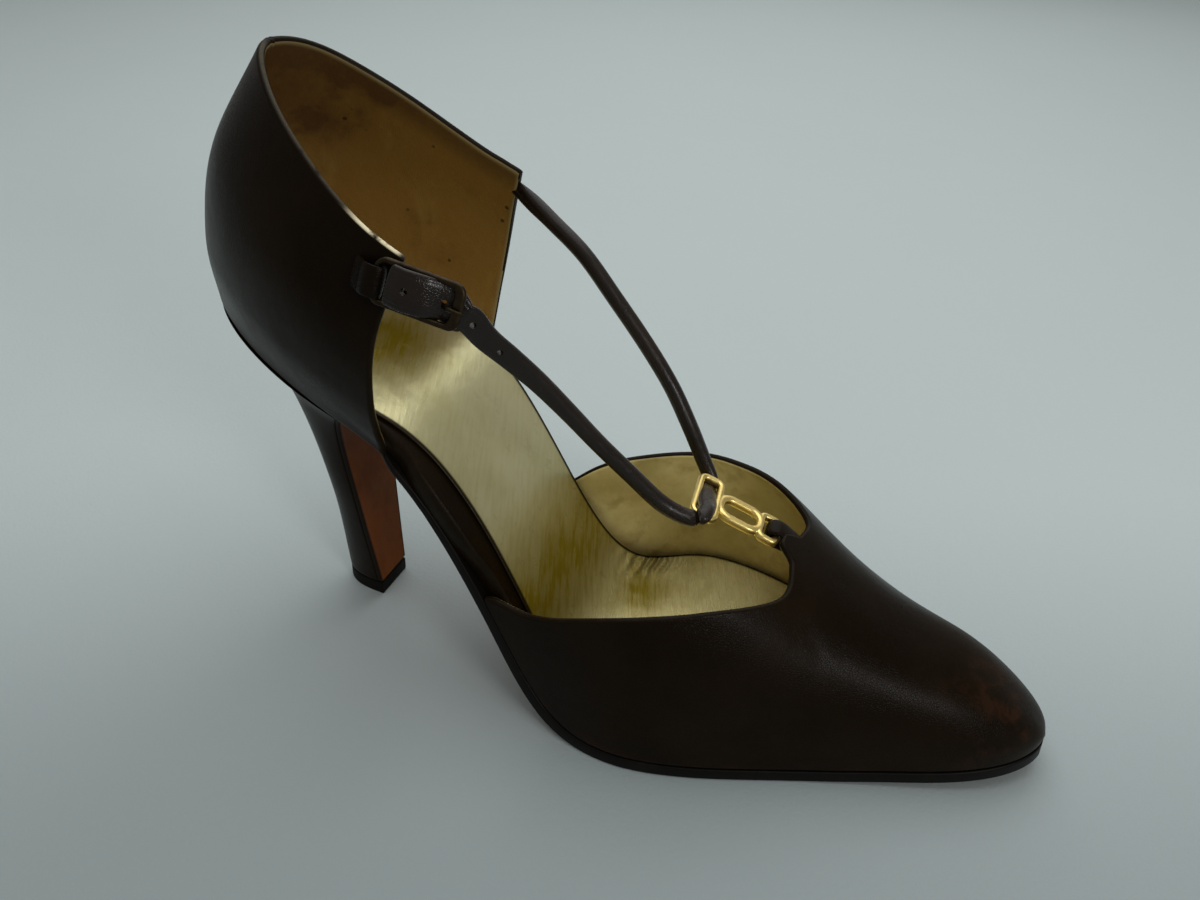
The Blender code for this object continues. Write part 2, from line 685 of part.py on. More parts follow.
def make_link():
    """Gold link: slot for the strap, oblong neck, and a front bar for the tab."""
    half_slot, half_neck, half_horn = LINK_SLOT[1] / 2, LINK_NECK[1] / 2, LINK_HORN[1] / 2
    back, front = -LINK_SLOT[0] / 2, LINK_SLOT[0] / 2
    neck_end, horn_end = LINK_NECK[0], LINK_HORN[0]
    side = [
        (back + 1.0, half_slot),
        (front - 1.0, half_slot),
        (front, half_slot - 1.0),
        (front + 0.4, half_neck + 1.2),
        (front + 1.6, half_neck),
        (neck_end - 1.6, half_neck),
        (neck_end - 0.4, half_horn - 0.4),
        (horn_end - 1.0, half_horn),
        (horn_end, half_horn - 1.0),
    ]
    outside = [(back, half_slot - 1.0)] + side
    outside += [(u, -v) for u, v in reversed(outside)]
    slot = box_loop(-LINK_SLOT_HOLE[0] / 2, LINK_SLOT_HOLE[0] / 2, -LINK_SLOT_HOLE[1] / 2, LINK_SLOT_HOLE[1] / 2, 1.0)
    neck_start = front + 1.1
    neck = box_loop(neck_start, neck_start + LINK_NECK_HOLE[0], -LINK_NECK_HOLE[1] / 2, LINK_NECK_HOLE[1] / 2, 1.3)
    horn_start = horn_end - 1.6 - LINK_HORN_HOLE[0]
    horn = box_loop(horn_start, horn_start + LINK_HORN_HOLE[0], -LINK_HORN_HOLE[1] / 2, LINK_HORN_HOLE[1] / 2, 0.8)
    axes = frame_axes(LINK_ALONG, LINK_ACROSS)
    plate("vamp_link", (outside, slot, neck, horn), LINK_THICK, LINK_PLACE, axes, "brass", BRASS)


def folded_band(name, rows, place, axes, wide, thick, finish_name, finish):
    """Leather band of even width folded along a path in a plane."""
    along, across, out = axes
    number = np.arange(len(rows))
    fine = np.linspace(0, len(rows) - 1, (len(rows) - 1) * 3 + 1)
    us, vs = smooth(fine, number, column(rows, "along")), smooth(fine, number, column(rows, "out"))
    points = [Vector(place) + along * float(u) + out * float(v) for u, v in zip(us, vs)]
    count = len(points)
    rings = swept(points, [wide] * count, [thick] * count, [3.4] * count, [across] * count, 10)
    verts, faces = tube(rings)
    add_mesh(name, verts, faces, finish_name, finish)


def make_tab():
    """Tab of the vamp, folded round the front bar of the link."""
    axes = frame_axes(LINK_ALONG, LINK_ACROSS)
    folded_band("vamp_tab", TAB, LINK_PLACE, axes, TAB_WIDE, TAB_THICK, "brown_leather", BROWN_LEATHER)


def make_buckle():
    """Buckle frame with its hinge bar, the prong, and the leather loop that holds it."""
    along, up, out = buckle_axes()
    half_u, half_v = BUCKLE_SIZE[0] / 2, BUCKLE_SIZE[1] / 2
    bar, hinge = BUCKLE_BAR, BUCKLE_HINGE
    outside = box_loop(-half_u, half_u, -half_v, half_v, 2.8, 6)
    back = box_loop(-half_u + bar, hinge - 0.75, -half_v + bar, half_v - bar, 1.6)
    front = box_loop(hinge + 0.75, half_u - BUCKLE_FRONT_BAR, -half_v + bar, half_v - bar, 1.4)
    plate("buckle_frame", (outside, back, front), BUCKLE_THICK, BUCKLE_PLACE, (along, up, along.cross(up)),
          "dark_brass", DARK_BRASS)

    number = np.arange(len(PRONG))
    fine = np.linspace(0, len(PRONG) - 1, (len(PRONG) - 1) * 3 + 1)
    us, vs = smooth(fine, number, column(PRONG, "along")), smooth(fine, number, column(PRONG, "out"))
    points = [Vector(BUCKLE_PLACE) + along * float(u) + out * float(v) for u, v in zip(us, vs)]
    wide = [2 * PRONG_RADIUS] * len(points)
    rings = swept(points, wide, wide, [2.0] * len(points), [up] * len(points), 10)
    verts, faces = tube(rings)
    add_mesh("buckle_prong", verts, faces, "dark_brass", DARK_BRASS)

    folded_band("buckle_loop", LOOP, BUCKLE_PLACE, (along, up, out), LOOP_WIDE, LOOP_THICK,
                "brown_leather", BROWN_LEATHER)


def settle():
    """Puts the middle of the shoe's box over the origin and its lowest point on the floor."""
    bpy.context.view_layer.update()
    corners = [made.matrix_world @ Vector(c) for made in bpy.data.objects if not made.hide_render for c in made.bound_box]
    low = [min(c[i] for c in corners) for i in range(3)]
    high = [max(c[i] for c in corners) for i in range(3)]
    shift = Vector((-(low[0] + high[0]) / 2, -(low[1] + high[1]) / 2, -low[2]))
    print("shift mm", [round(s / MM, 3) for s in shift])
    for made in bpy.data.objects:
        made.matrix_world = Matrix.Translation(shift) @ made.matrix_world


def main():
    """Clears the scene and makes every piece."""
    for old in list(bpy.data.objects):
        bpy.data.objects.remove(old, do_unlink=True)
    make_outsole()
    make_insole()
    make_vamp()
    make_quarter()
    make_heel()
    make_link()
    make_tab()
    make_strap()
    make_buckle()
    settle()


main()
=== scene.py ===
"""High heel shoe of brown leather, with a gilt link and a buckled strap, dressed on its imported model.

Sizes are in millimetres in the last's own frame: X runs from heel to toe, Y to the inner side of the
foot, Z up. Finished meshes are in metres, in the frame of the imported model.
"""

from __future__ import annotations

import logging
import math
from dataclasses import dataclass
from enum import Enum, IntEnum
from functools import partial
from typing import Callable, NamedTuple, Sequence

import bpy
import numpy as np
from mathutils import Matrix, Vector

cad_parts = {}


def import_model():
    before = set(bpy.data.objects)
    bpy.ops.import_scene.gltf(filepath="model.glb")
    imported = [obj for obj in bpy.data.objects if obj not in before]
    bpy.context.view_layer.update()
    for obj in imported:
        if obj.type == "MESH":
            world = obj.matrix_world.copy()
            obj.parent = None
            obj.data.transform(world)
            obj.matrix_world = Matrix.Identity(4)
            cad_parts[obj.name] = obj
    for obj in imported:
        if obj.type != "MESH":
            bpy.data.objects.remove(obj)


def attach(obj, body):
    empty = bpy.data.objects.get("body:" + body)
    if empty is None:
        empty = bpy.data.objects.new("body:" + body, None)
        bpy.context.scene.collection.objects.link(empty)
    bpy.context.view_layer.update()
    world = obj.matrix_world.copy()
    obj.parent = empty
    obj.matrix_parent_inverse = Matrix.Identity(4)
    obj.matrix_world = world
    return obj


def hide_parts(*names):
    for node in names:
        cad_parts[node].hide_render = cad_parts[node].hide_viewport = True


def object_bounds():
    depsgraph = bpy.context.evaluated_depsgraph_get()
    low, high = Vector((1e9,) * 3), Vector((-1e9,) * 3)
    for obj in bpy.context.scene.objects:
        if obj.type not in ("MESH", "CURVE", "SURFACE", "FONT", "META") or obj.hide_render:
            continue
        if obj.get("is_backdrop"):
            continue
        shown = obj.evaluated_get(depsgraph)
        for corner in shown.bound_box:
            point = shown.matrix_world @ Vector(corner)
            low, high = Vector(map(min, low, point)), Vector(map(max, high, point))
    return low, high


LOG = logging.getLogger("high_heel_shoe")
Array = np.ndarray
Object = bpy.types.Object
Material = bpy.types.Material
Socket = bpy.types.NodeSocket
Colour = tuple[float, float, float]
Triple = tuple[float, float, float]

MM = 0.001
MIDDLE = np.array([109.439, 2.276, 0.0])
BODY = "root"

# Points closer than this are one point, in millimetres
MERGE = 0.003
# Faces and edges smaller than this are dropped, in metres
SLIVER = 1e-7
# Mark of a place that has no rubbed edge near it
FAR_FROM_EDGE = 9.0
# Rows at a rolled edge, by their distance from it
ROLL = (0.0, 0.05, 0.16, 0.33, 0.55, 0.8, 1.05, 1.4, 1.9, 2.5)


# Curves and spacing


def hermite(x: Array, xs: Sequence[float], ys: Sequence[float], slopes: Sequence[float]) -> Array:
    """Curve through points with given slopes.

    Args:
        x: places along the curve.
        xs: places of its points.
        ys: values at its points.
        slopes: slopes at its points.

    Returns:
        The curve's values at x.
    """
    xs, ys, slopes = (np.asarray(row, float) for row in (xs, ys, slopes))
    x = np.asarray(x, float)
    i = np.clip(np.searchsorted(xs, x) - 1, 0, len(xs) - 2)
    step = xs[i + 1] - xs[i]
    t = (x - xs[i]) / step
    return (
        (2 * t**3 - 3 * t**2 + 1) * ys[i]
        + (t**3 - 2 * t**2 + t) * step * slopes[i]
        + (3 * t**2 - 2 * t**3) * ys[i + 1]
        + (t**3 - t**2) * step * slopes[i + 1]
    )


def smooth(x: Array, xs: Sequence[float], ys: Sequence[float]) -> Array:
    """Smooth curve through points.

    Args:
        x: places along the curve.
        xs: places of its points.
        ys: values at its points.

    Returns:
        The curve's values at x.
    """
    xs, ys = np.asarray(xs, float), np.asarray(ys, float)
    slopes = np.empty_like(ys)
    slopes[1:-1] = (ys[2:] - ys[:-2]) / (xs[2:] - xs[:-2])
    slopes[0] = (ys[1] - ys[0]) / (xs[1] - xs[0])
    slopes[-1] = (ys[-1] - ys[-2]) / (xs[-1] - xs[-2])
    return hermite(x, xs, ys, slopes)


def column(table: Sequence[NamedTuple], name: str) -> list[float]:
    """One named column of a table."""
    return [getattr(row, name) for row in table]


def curves(table: Sequence[NamedTuple], count: int) -> dict[str, Array]:
    """Smooth curves through the rows of a table.

    Args:
        table: the rows, which count as evenly spaced.
        count: number of places along them.

    Returns:
        The values of each column by its name.
    """
    rows = np.arange(len(table))
    fine = np.linspace(0, len(table) - 1, count)
    return {name: smooth(fine, rows, column(table, name)) for name in table[0]._fields}


def rounded(share: Array, power: float) -> Array:
    """Height of a unit superellipse at a share of the way in from its end."""
    inside = np.clip(1 - np.abs(1 - np.clip(share, 0, 1)) ** power, 0, 1)
    return inside ** (1 / power)


def hill(x: Array, centre: float, reach: float) -> Array:
    """Soft bump of height one around a centre."""
    return np.exp(-(((np.asarray(x, float) - centre) / reach) ** 2))


def ease(x: Array, low: float, high: float) -> Array:
    """Soft step from nought at low to one at high."""
    t = np.clip((np.asarray(x, float) - low) / (high - low), 0, 1)
    return t * t * (3 - 2 * t)


def unit(vectors: Array) -> Array:
    """Vectors made one long."""
    vectors = np.asarray(vectors, float)
    return vectors / np.maximum(np.linalg.norm(vectors, axis=-1, keepdims=True), 1e-9)


def spread(length: float, head: Sequence[float], tail: Sequence[float], count: int) -> Array:
    """Distances that are close together at both ends.

    Args:
        length: the last distance.
        head: distances from the start that are kept.
        tail: distances from the end that are kept.
        count: even steps between them.

    Returns:
        Rising distances from 0 to length.
    """
    first, last = head[-1], length - tail[-1]
    even = np.linspace(first, last, count + 1)
    return np.concatenate([head[:-1], even, length - np.array(tail[-2::-1])])


def arc_from_start(points: Array, axis: int) -> Array:
    """Length along one direction of a table of points, from its start.

    Args:
        points: a table of points.
        axis: direction in the table, 0 for its rows or 1 for its columns.

    Returns:
        Lengths, one for each point.
    """
    steps = np.linalg.norm(np.diff(points, axis=axis), axis=-1)
    zero = np.zeros_like(np.take(steps, [0], axis=axis))
    return np.concatenate([zero, np.cumsum(steps, axis=axis)], axis=axis)


def arc_from_end(points: Array, axis: int) -> Array:
    """Length along one direction of a table of points, from its end."""
    return np.flip(arc_from_start(np.flip(points, axis), axis), axis)


def sheet_normals(points: Array) -> Array:
    """Outward directions of a sheet of points.

    Args:
        points: the sheet, rows by columns.

    Returns:
        Unit vectors. A row that is one point takes the mean of the row beside it.
    """
    rows, cols = np.gradient(points, axis=0), np.gradient(points, axis=1)
    out = unit(np.cross(rows, cols))
    flat = np.linalg.norm(cols, axis=-1).max(1) < 1e-6
    for row in np.nonzero(flat)[0]:
        out[row] = unit(out[row - 1 if row else 1].mean(0))
    return out


# The last


class Bottom(NamedTuple):
    """Bottom of the last along the middle."""

    x: float
    z: float
    slope: float


class Outline(NamedTuple):
    """Half widths of the feather outline."""

    x: float
    outer: float
    inner: float


class Ridge(NamedTuple):
    """Top of the foot along the middle."""

    x: float
    z: float


class Topline(NamedTuple):
    """Share of the way from the vamp's back to its throat, at a share of the way up."""

    rise: float
    outer: float
    inner: float


class Dip(NamedTuple):
    """How far the quarter's topline dips, around from the back (0) to a front edge (1)."""

    around: float
    drop: float


class Level(NamedTuple):
    """Section of the quarter or the heel at a share of its height."""

    share: float
    back_x: float
    front_x: float
    half_width: float


class Side(IntEnum):
    """Sides of the foot."""

    OUTER = -1
    INNER = 1


@dataclass(frozen=True)
class Last:
    """The form that the shoe is made on."""

    length: float = 219.0
    clearance: float = 0.3
    toe_round: float = 48.5
    toe_power: float = 1.93
    seat_round: float = 58.5
    seat_power: float = 2.12
    swing_tan: float = 0.058
    swing_start: float = 51.0
    swing_blend: float = 35.0
    swing_turn: float = 125.5
    toe_pull: float = 1.5
    line_step: float = 0.002
    bottom: tuple[Bottom, ...] = (
        Bottom(0.0, 91.7, -0.36),
        Bottom(30.0, 80.0, -0.405),
        Bottom(45.0, 74.3, -0.37),
        Bottom(55.0, 69.8, -0.58),
        Bottom(65.0, 61.8, -1.04),
        Bottom(75.0, 49.0, -1.5),
        Bottom(85.0, 32.4, -1.74),
        Bottom(95.0, 15.9, -1.4),
        Bottom(105.0, 6.2, -0.55),
        Bottom(118.0, 3.4, 0.0),
        Bottom(160.0, 3.4, 0.0),
        Bottom(190.0, 5.0, 0.085),
        Bottom(219.0, 8.2, 0.12),
    )
    outline: tuple[Outline, ...] = (
        Outline(-5.0, 27.6, 27.6),
        Outline(45.0, 27.6, 27.6),
        Outline(85.2, 30.7, 20.8),
        Outline(125.5, 40.0, 38.1),
        Outline(182.0, 24.3, 22.9),
        Outline(219.0, 22.7, 22.5),
    )

    def bottom_z(self, x: Array) -> Array:
        """Height of the bottom of the last."""
        x = np.clip(x, 0, self.length)
        return hermite(x, *(column(self.bottom, name) for name in Bottom._fields))

    def bottom_slope(self, x: Array) -> Array:
        """Slope of the bottom of the last."""
        return self.bottom_z(np.asarray(x) + 0.5) - self.bottom_z(np.asarray(x) - 0.5)

    def upper_base_z(self, x: Array) -> Array:
        """Height of the lower edge of the upper, clear of the sole."""
        return self.bottom_z(x) + self.clearance * np.sqrt(1 + self.bottom_slope(x) ** 2)

    def bottom_up(self, x: Array) -> Array:
        """Unit direction into the shoe from the bottom of the last."""
        slope = self.bottom_slope(x)
        return unit(np.stack([-slope, 0 * slope, 1 + 0 * slope], -1))

    def centre_y(self, x: Array) -> Array:
        """Centre line of the sole, which swings inward past the waist.

        Args:
            x: places along the last.

        Returns:
            Y of the centre line.
        """
        x = np.asarray(x, float)
        past = np.clip(x - self.swing_start, 0, None)
        near = past**2 / (2 * self.swing_blend)
        eased = np.where(past < self.swing_blend, near, past - self.swing_blend / 2)
        pull = np.clip((x - self.swing_turn) / (self.length - self.swing_turn), 0, 1) ** 2
        return self.swing_tan * eased - self.toe_pull * pull

    def edge_y(self, x: Array, side: Side) -> Array:
        """Feather outline on one side.

        Args:
            x: places along the last.
            side: side of the foot.

        Returns:
            Y of the outline.
        """
        x = np.asarray(x, float)
        half = smooth(x, column(self.outline, "x"), column(self.outline, side.name.lower()))
        half = half * rounded(x / self.seat_round, self.seat_power)
        half = half * rounded((self.length - x) / self.toe_round, self.toe_power)
        return self.centre_y(x) + side * half

    def edge_line(self, side: Side, start: float, end: float, count: int, inset: Callable) -> Array:
        """Feather outline of one side, moved inward.

        Args:
            side: side of the foot.
            start: where the line starts along the last.
            end: where it ends.
            count: number of points.
            inset: distance inward at a place along the last.

        Returns:
            Points as X and Y.
        """
        first, last = (np.arccos(np.clip(1 - 2 * x / self.length, -1, 1)) for x in (start, end))
        x = self.length * (1 - np.cos(np.linspace(first, last, count))) / 2
        low, high = (np.clip(x + way * self.line_step, 0, self.length) for way in (-1, 1))
        dx, dy = high - low, self.edge_y(high, side) - self.edge_y(low, side)
        move = side * inset(x) / np.hypot(dx, dy)
        return np.stack([x + move * dy, self.edge_y(x, side) - move * dx], -1)


# Making meshes


def move_to(point: Sequence[float]) -> Matrix:
    """Move to a point of the last's frame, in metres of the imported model's."""
    return Matrix.Translation(Vector((np.asarray(point) - MIDDLE) * MM))


class Workbench:
    """Blender's operators, used on one piece at a time."""

    @staticmethod
    def only(*chosen: Object) -> None:
        """Selects some objects and makes the first active.

        Args:
            chosen: the objects.
        """
        bpy.ops.object.select_all(action="DESELECT")
        for piece in chosen:
            piece.select_set(True)
        bpy.context.view_layer.objects.active = chosen[0]

    @staticmethod
    def add(name: str, operator: Callable[..., object], **settings: object) -> Object:
        """Adds an object, with nothing else selected.

        Args:
            name: name of the object and its data.
            operator: the operator that adds it.
            settings: what the operator is given.

        Returns:
            The new object.
        """
        bpy.ops.object.select_all(action="DESELECT")
        operator(**settings)
        made = bpy.context.object
        made.name = made.data.name = name
        return made

    @classmethod
    def edit(cls, piece: Object, *steps: Callable[[], object]) -> None:
        """Runs edit mode operators on the whole of a mesh.

        Args:
            piece: the mesh object.
            steps: calls of operators, in order.
        """
        cls.only(piece)
        bpy.ops.object.mode_set(mode="EDIT")
        bpy.ops.mesh.select_all(action="SELECT")
        for step in steps:
            step()
        bpy.ops.object.mode_set(mode="OBJECT")

    @classmethod
    def grid(cls, name: str, points: Array, slots: Array | None = None, **marks: Array) -> Object:
        """Adds a grid and moves each of its points to its place.

        Args:
            name: name of the piece.
            points: places in millimetres, rows by columns.
            slots: material slot at each point.
            marks: values at each point, kept on the mesh under their names.

        Returns:
            The new mesh object.
        """
        rows, cols = points.shape[:2]
        counts = {"x_subdivisions": cols - 1, "y_subdivisions": rows - 1}
        piece = cls.add(name, bpy.ops.mesh.primitive_grid_add, size=1.0, **counts)
        mesh = piece.data
        flat = np.empty(len(mesh.vertices) * 3)
        mesh.vertices.foreach_get("co", flat)
        across = np.rint((flat[0::3] + 0.5) * (cols - 1)).astype(int)
        along = np.rint((flat[1::3] + 0.5) * (rows - 1)).astype(int)
        places = (points - MIDDLE) * MM
        mesh.vertices.foreach_set("co", places[along, across].ravel())
        for mark, values in marks.items():
            table = np.broadcast_to(values, (rows, cols))
            layer = mesh.attributes.new(mark, "FLOAT", "POINT")
            layer.data.foreach_set("value", table[along, across].astype(np.float32))
        if slots is not None:
            corners = np.empty(len(mesh.loops), int)
            mesh.loops.foreach_get("vertex_index", corners)
            chosen = np.broadcast_to(slots, (rows, cols))[along, across][corners]
            mesh.polygons.foreach_set("material_index", chosen.reshape(-1, 4).max(1))
        mesh.update()
        return piece

    @classmethod
    def close(cls, piece: Object) -> Object:
        """Merges touching points and turns all faces outward.

        Args:
            piece: the mesh object.

        Returns:
            The same object.
        """
        cls.edit(
            piece,
            lambda: bpy.ops.mesh.remove_doubles(threshold=MERGE * MM),
            lambda: bpy.ops.mesh.dissolve_degenerate(threshold=SLIVER),
            lambda: bpy.ops.mesh.normals_make_consistent(inside=False),
        )
        if cls.volume(piece) < 0:
            cls.edit(piece, lambda: bpy.ops.mesh.flip_normals())
        return piece

    @staticmethod
    def volume(piece: Object) -> float:
        """Volume inside a mesh, in cubic metres.

        Args:
            piece: a closed mesh.

        Returns:
            The volume, which is negative where the faces point inward.
        """
        mesh = piece.data
        mesh.calc_loop_triangles()
        numbers = np.empty(len(mesh.loop_triangles) * 3, int)
        mesh.loop_triangles.foreach_get("vertices", numbers)
        places = np.empty(len(mesh.vertices) * 3)
        mesh.vertices.foreach_get("co", places)
        first, second, third = np.moveaxis(places.reshape(-1, 3)[numbers.reshape(-1, 3)], 1, 0)
        return float(np.sum(first * np.cross(second, third)) / 6)

    @classmethod
    def join(cls, name: str, parts: Sequence[Object]) -> Object:
        """Joins objects into one mesh.

        Args:
            name: name of the joined piece.
            parts: the objects.

        Returns:
            The joined mesh object.
        """
        cls.only(*parts)
        bpy.ops.object.join()
        parts[0].name = parts[0].data.name = name
        return parts[0]

    @classmethod
    def modify(cls, piece: Object, kind: str, **settings: object) -> None:
        """Adds a modifier and applies it.

        Args:
            piece: the mesh object.
            kind: type of modifier.
            settings: its properties.
        """
        cls.only(piece)
        made = piece.modifiers.new(kind.lower(), kind)
        for name, value in settings.items():
            setattr(made, name, value)
        bpy.ops.object.modifier_apply(modifier=made.name)

    @classmethod
    def bevel(cls, piece: Object, width: float, degrees: float = 50.0) -> None:
        """Rounds the edges where faces meet at more than an angle."""
        edges = {"limit_method": "ANGLE", "angle_limit": math.radians(degrees)}
        cls.modify(piece, "BEVEL", width=width * MM, segments=3, **edges)

    @classmethod
    def cut(cls, piece: Object, cutter: Object) -> None:
        """Takes a cutter out of a piece."""
        cls.modify(piece, "BOOLEAN", operation="DIFFERENCE", solver="EXACT", object=cutter)
        bpy.data.objects.remove(cutter, do_unlink=True)

    @classmethod
    def shade(cls, piece: Object, degrees: float) -> None:
        """Smooth shading, with edges kept where faces meet at more than an angle."""
        cls.only(piece)
        bpy.ops.object.shade_smooth_by_angle(angle=math.radians(degrees))

    @classmethod
    def melt(cls, piece: Object, voxel: float, rounds: int) -> None:
        """Makes crossing bars one cast body with soft joints.

        Args:
            piece: the mesh object.
            voxel: grain of the new mesh in millimetres.
            rounds: how often it is smoothed.
        """
        cls.modify(piece, "REMESH", mode="VOXEL", voxel_size=voxel * MM, use_smooth_shade=True)
        cls.modify(piece, "SMOOTH", factor=0.5, iterations=rounds)
        cls.only(piece)
        bpy.ops.object.shade_smooth()


class Slot(Enum):
    """Material slots of the record."""

    BROWN = "brown_leather"
    GOLD = "gold_leather"
    SOLE = "sole_leather"
    RUSSET = "russet_leather"
    RUBBER = "black_rubber"
    BRASS = "brass"
    DARK_BRASS = "dark_brass"


class Shop:
    """Hands finished pieces over to the frame."""

    @staticmethod
    def finish(
        piece: Object, nodes: Sequence[str], slot: Slot, *dresses: Material, angle: float = 0.0
    ) -> Object:
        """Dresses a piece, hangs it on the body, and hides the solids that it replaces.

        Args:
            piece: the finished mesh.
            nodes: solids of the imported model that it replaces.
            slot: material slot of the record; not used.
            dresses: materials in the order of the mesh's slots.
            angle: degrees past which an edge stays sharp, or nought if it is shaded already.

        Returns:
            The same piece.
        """
        if angle:
            Workbench.shade(piece, angle)
        for dress in dresses:
            piece.data.materials.append(dress)
        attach(piece, BODY)
        if nodes:
            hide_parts(*nodes)
        LOG.info("%s: %d faces", piece.name, len(piece.data.polygons))
        return piece


@dataclass
class Wall:
    """Curved wall with rolled edges: an outer sheet, and an inner sheet with a lining on it."""

    outer: Array
    edge: Array
    thick: float
    fold: float = 0.5
    fold_soft: tuple[float, float] = (-0.25, 0.1)
    lining: float = 0.12

    def build(self, name: str, **marks: Array) -> Object:
        """Makes the wall.

        Args:
            name: name of the piece.
            marks: values at each point, kept on both sheets.

        Returns:
            A closed mesh: slot 0 is leather, slot 1 the lining.
        """
        out = sheet_normals(self.outer)
        half = self.thick / 2
        bulge = half * np.sqrt(np.clip(1 - (1 - np.clip(self.edge / half, 0, 1)) ** 2, 0, 1))
        step = self.lining * ease(self.edge, *(self.fold + soft for soft in self.fold_soft))
        middle = self.outer - out * half
        skin = middle + out * bulge[..., None]
        inside = middle - out * (bulge + step)[..., None]
        lined = (self.edge >= self.fold).astype(int)
        points = np.concatenate([skin[::-1], inside])
        slots = np.concatenate([0 * lined, lined])
        marks = {"edge": self.edge, **marks}
        kept = {mark: np.concatenate([values[::-1], values]) for mark, values in marks.items()}
        return Workbench.close(Workbench.grid(name, points, slots, **kept))


@dataclass
class Plate:
    """Plate between two outlines on the bottom of the last, with round edges."""

    last: Last
    left: Array
    right: Array
    low: Callable[[Array], Array]
    high: Callable[[Array, Array], Array]
    radius: float
    across: int = 40
    under: float = 1.0
    corner: int = 6
    edge_share: float = 0.2

    def build(self, name: str, slots: Sequence[int] = (0, 0, 0), **marks: Callable) -> Object:
        """Makes the plate.

        Args:
            name: name of the piece.
            slots: material slots of the top, the edge and the bottom.
            marks: functions of X, Y and the distance from the edge, kept on the mesh.

        Returns:
            A closed mesh.
        """
        width = np.linalg.norm(self.right - self.left, axis=-1)[:, None]
        turn = np.linspace(0, math.pi / 2, self.corner)
        inset = self.radius * (1 - np.sin(turn))
        drop = self.radius * (1 - np.cos(turn))
        near = np.minimum(inset[None], width * self.edge_share)
        inner = (1 - np.cos(np.linspace(0, math.pi, self.across))) / 2
        edge = np.minimum(self.radius, width * self.edge_share)
        inner = edge + (width - 2 * edge) * inner[None, 1:-1]
        top = np.concatenate([near[:, ::-1], inner, width - near], 1)
        fall = np.concatenate([drop[::-1], 0 * inner[0], drop])
        loop = np.concatenate([top, top[:, ::-1], top[:, :1]], 1)
        share = loop / np.maximum(width, 1e-9)
        count = top.shape[1]
        flat = self.left[:, None] + (self.right - self.left)[:, None] * share[..., None]
        x, y = flat[..., 0], flat[..., 1]
        rim = np.minimum(loop, width - loop)
        up = self.last.bottom_up(x)
        fall = np.concatenate([fall, fall[::-1], fall[:1]])[None]
        low = self.low(x) + self.under * fall
        high = self.high(x, rim) - fall
        upper = np.arange(loop.shape[1]) < count
        upper[-1] = True
        lift = np.where(upper[None], high, low)
        points = np.stack([x, y, self.last.bottom_z(x)], -1) + up * lift[..., None]
        side = np.full(loop.shape[1], slots[1])
        side[self.corner : count - self.corner] = slots[0]
        side[count + self.corner : 2 * count - self.corner] = slots[2]
        kept = {mark: value(x, y, rim) for mark, value in marks.items()}
        made = Workbench.grid(name, points, np.broadcast_to(side, loop.shape), edge=rim, **kept)
        self.cap(made)
        return Workbench.close(made)

    @staticmethod
    def cap(made: Object) -> None:
        """Closes the two ends of the plate.

        Args:
            made: the plate's mesh object.
        """
        Workbench.edit(
            made,
            lambda: bpy.ops.mesh.remove_doubles(threshold=MERGE * MM),
            lambda: bpy.ops.mesh.select_all(action="DESELECT"),
            lambda: bpy.ops.mesh.select_non_manifold(),
            lambda: bpy.ops.mesh.fill(),
        )


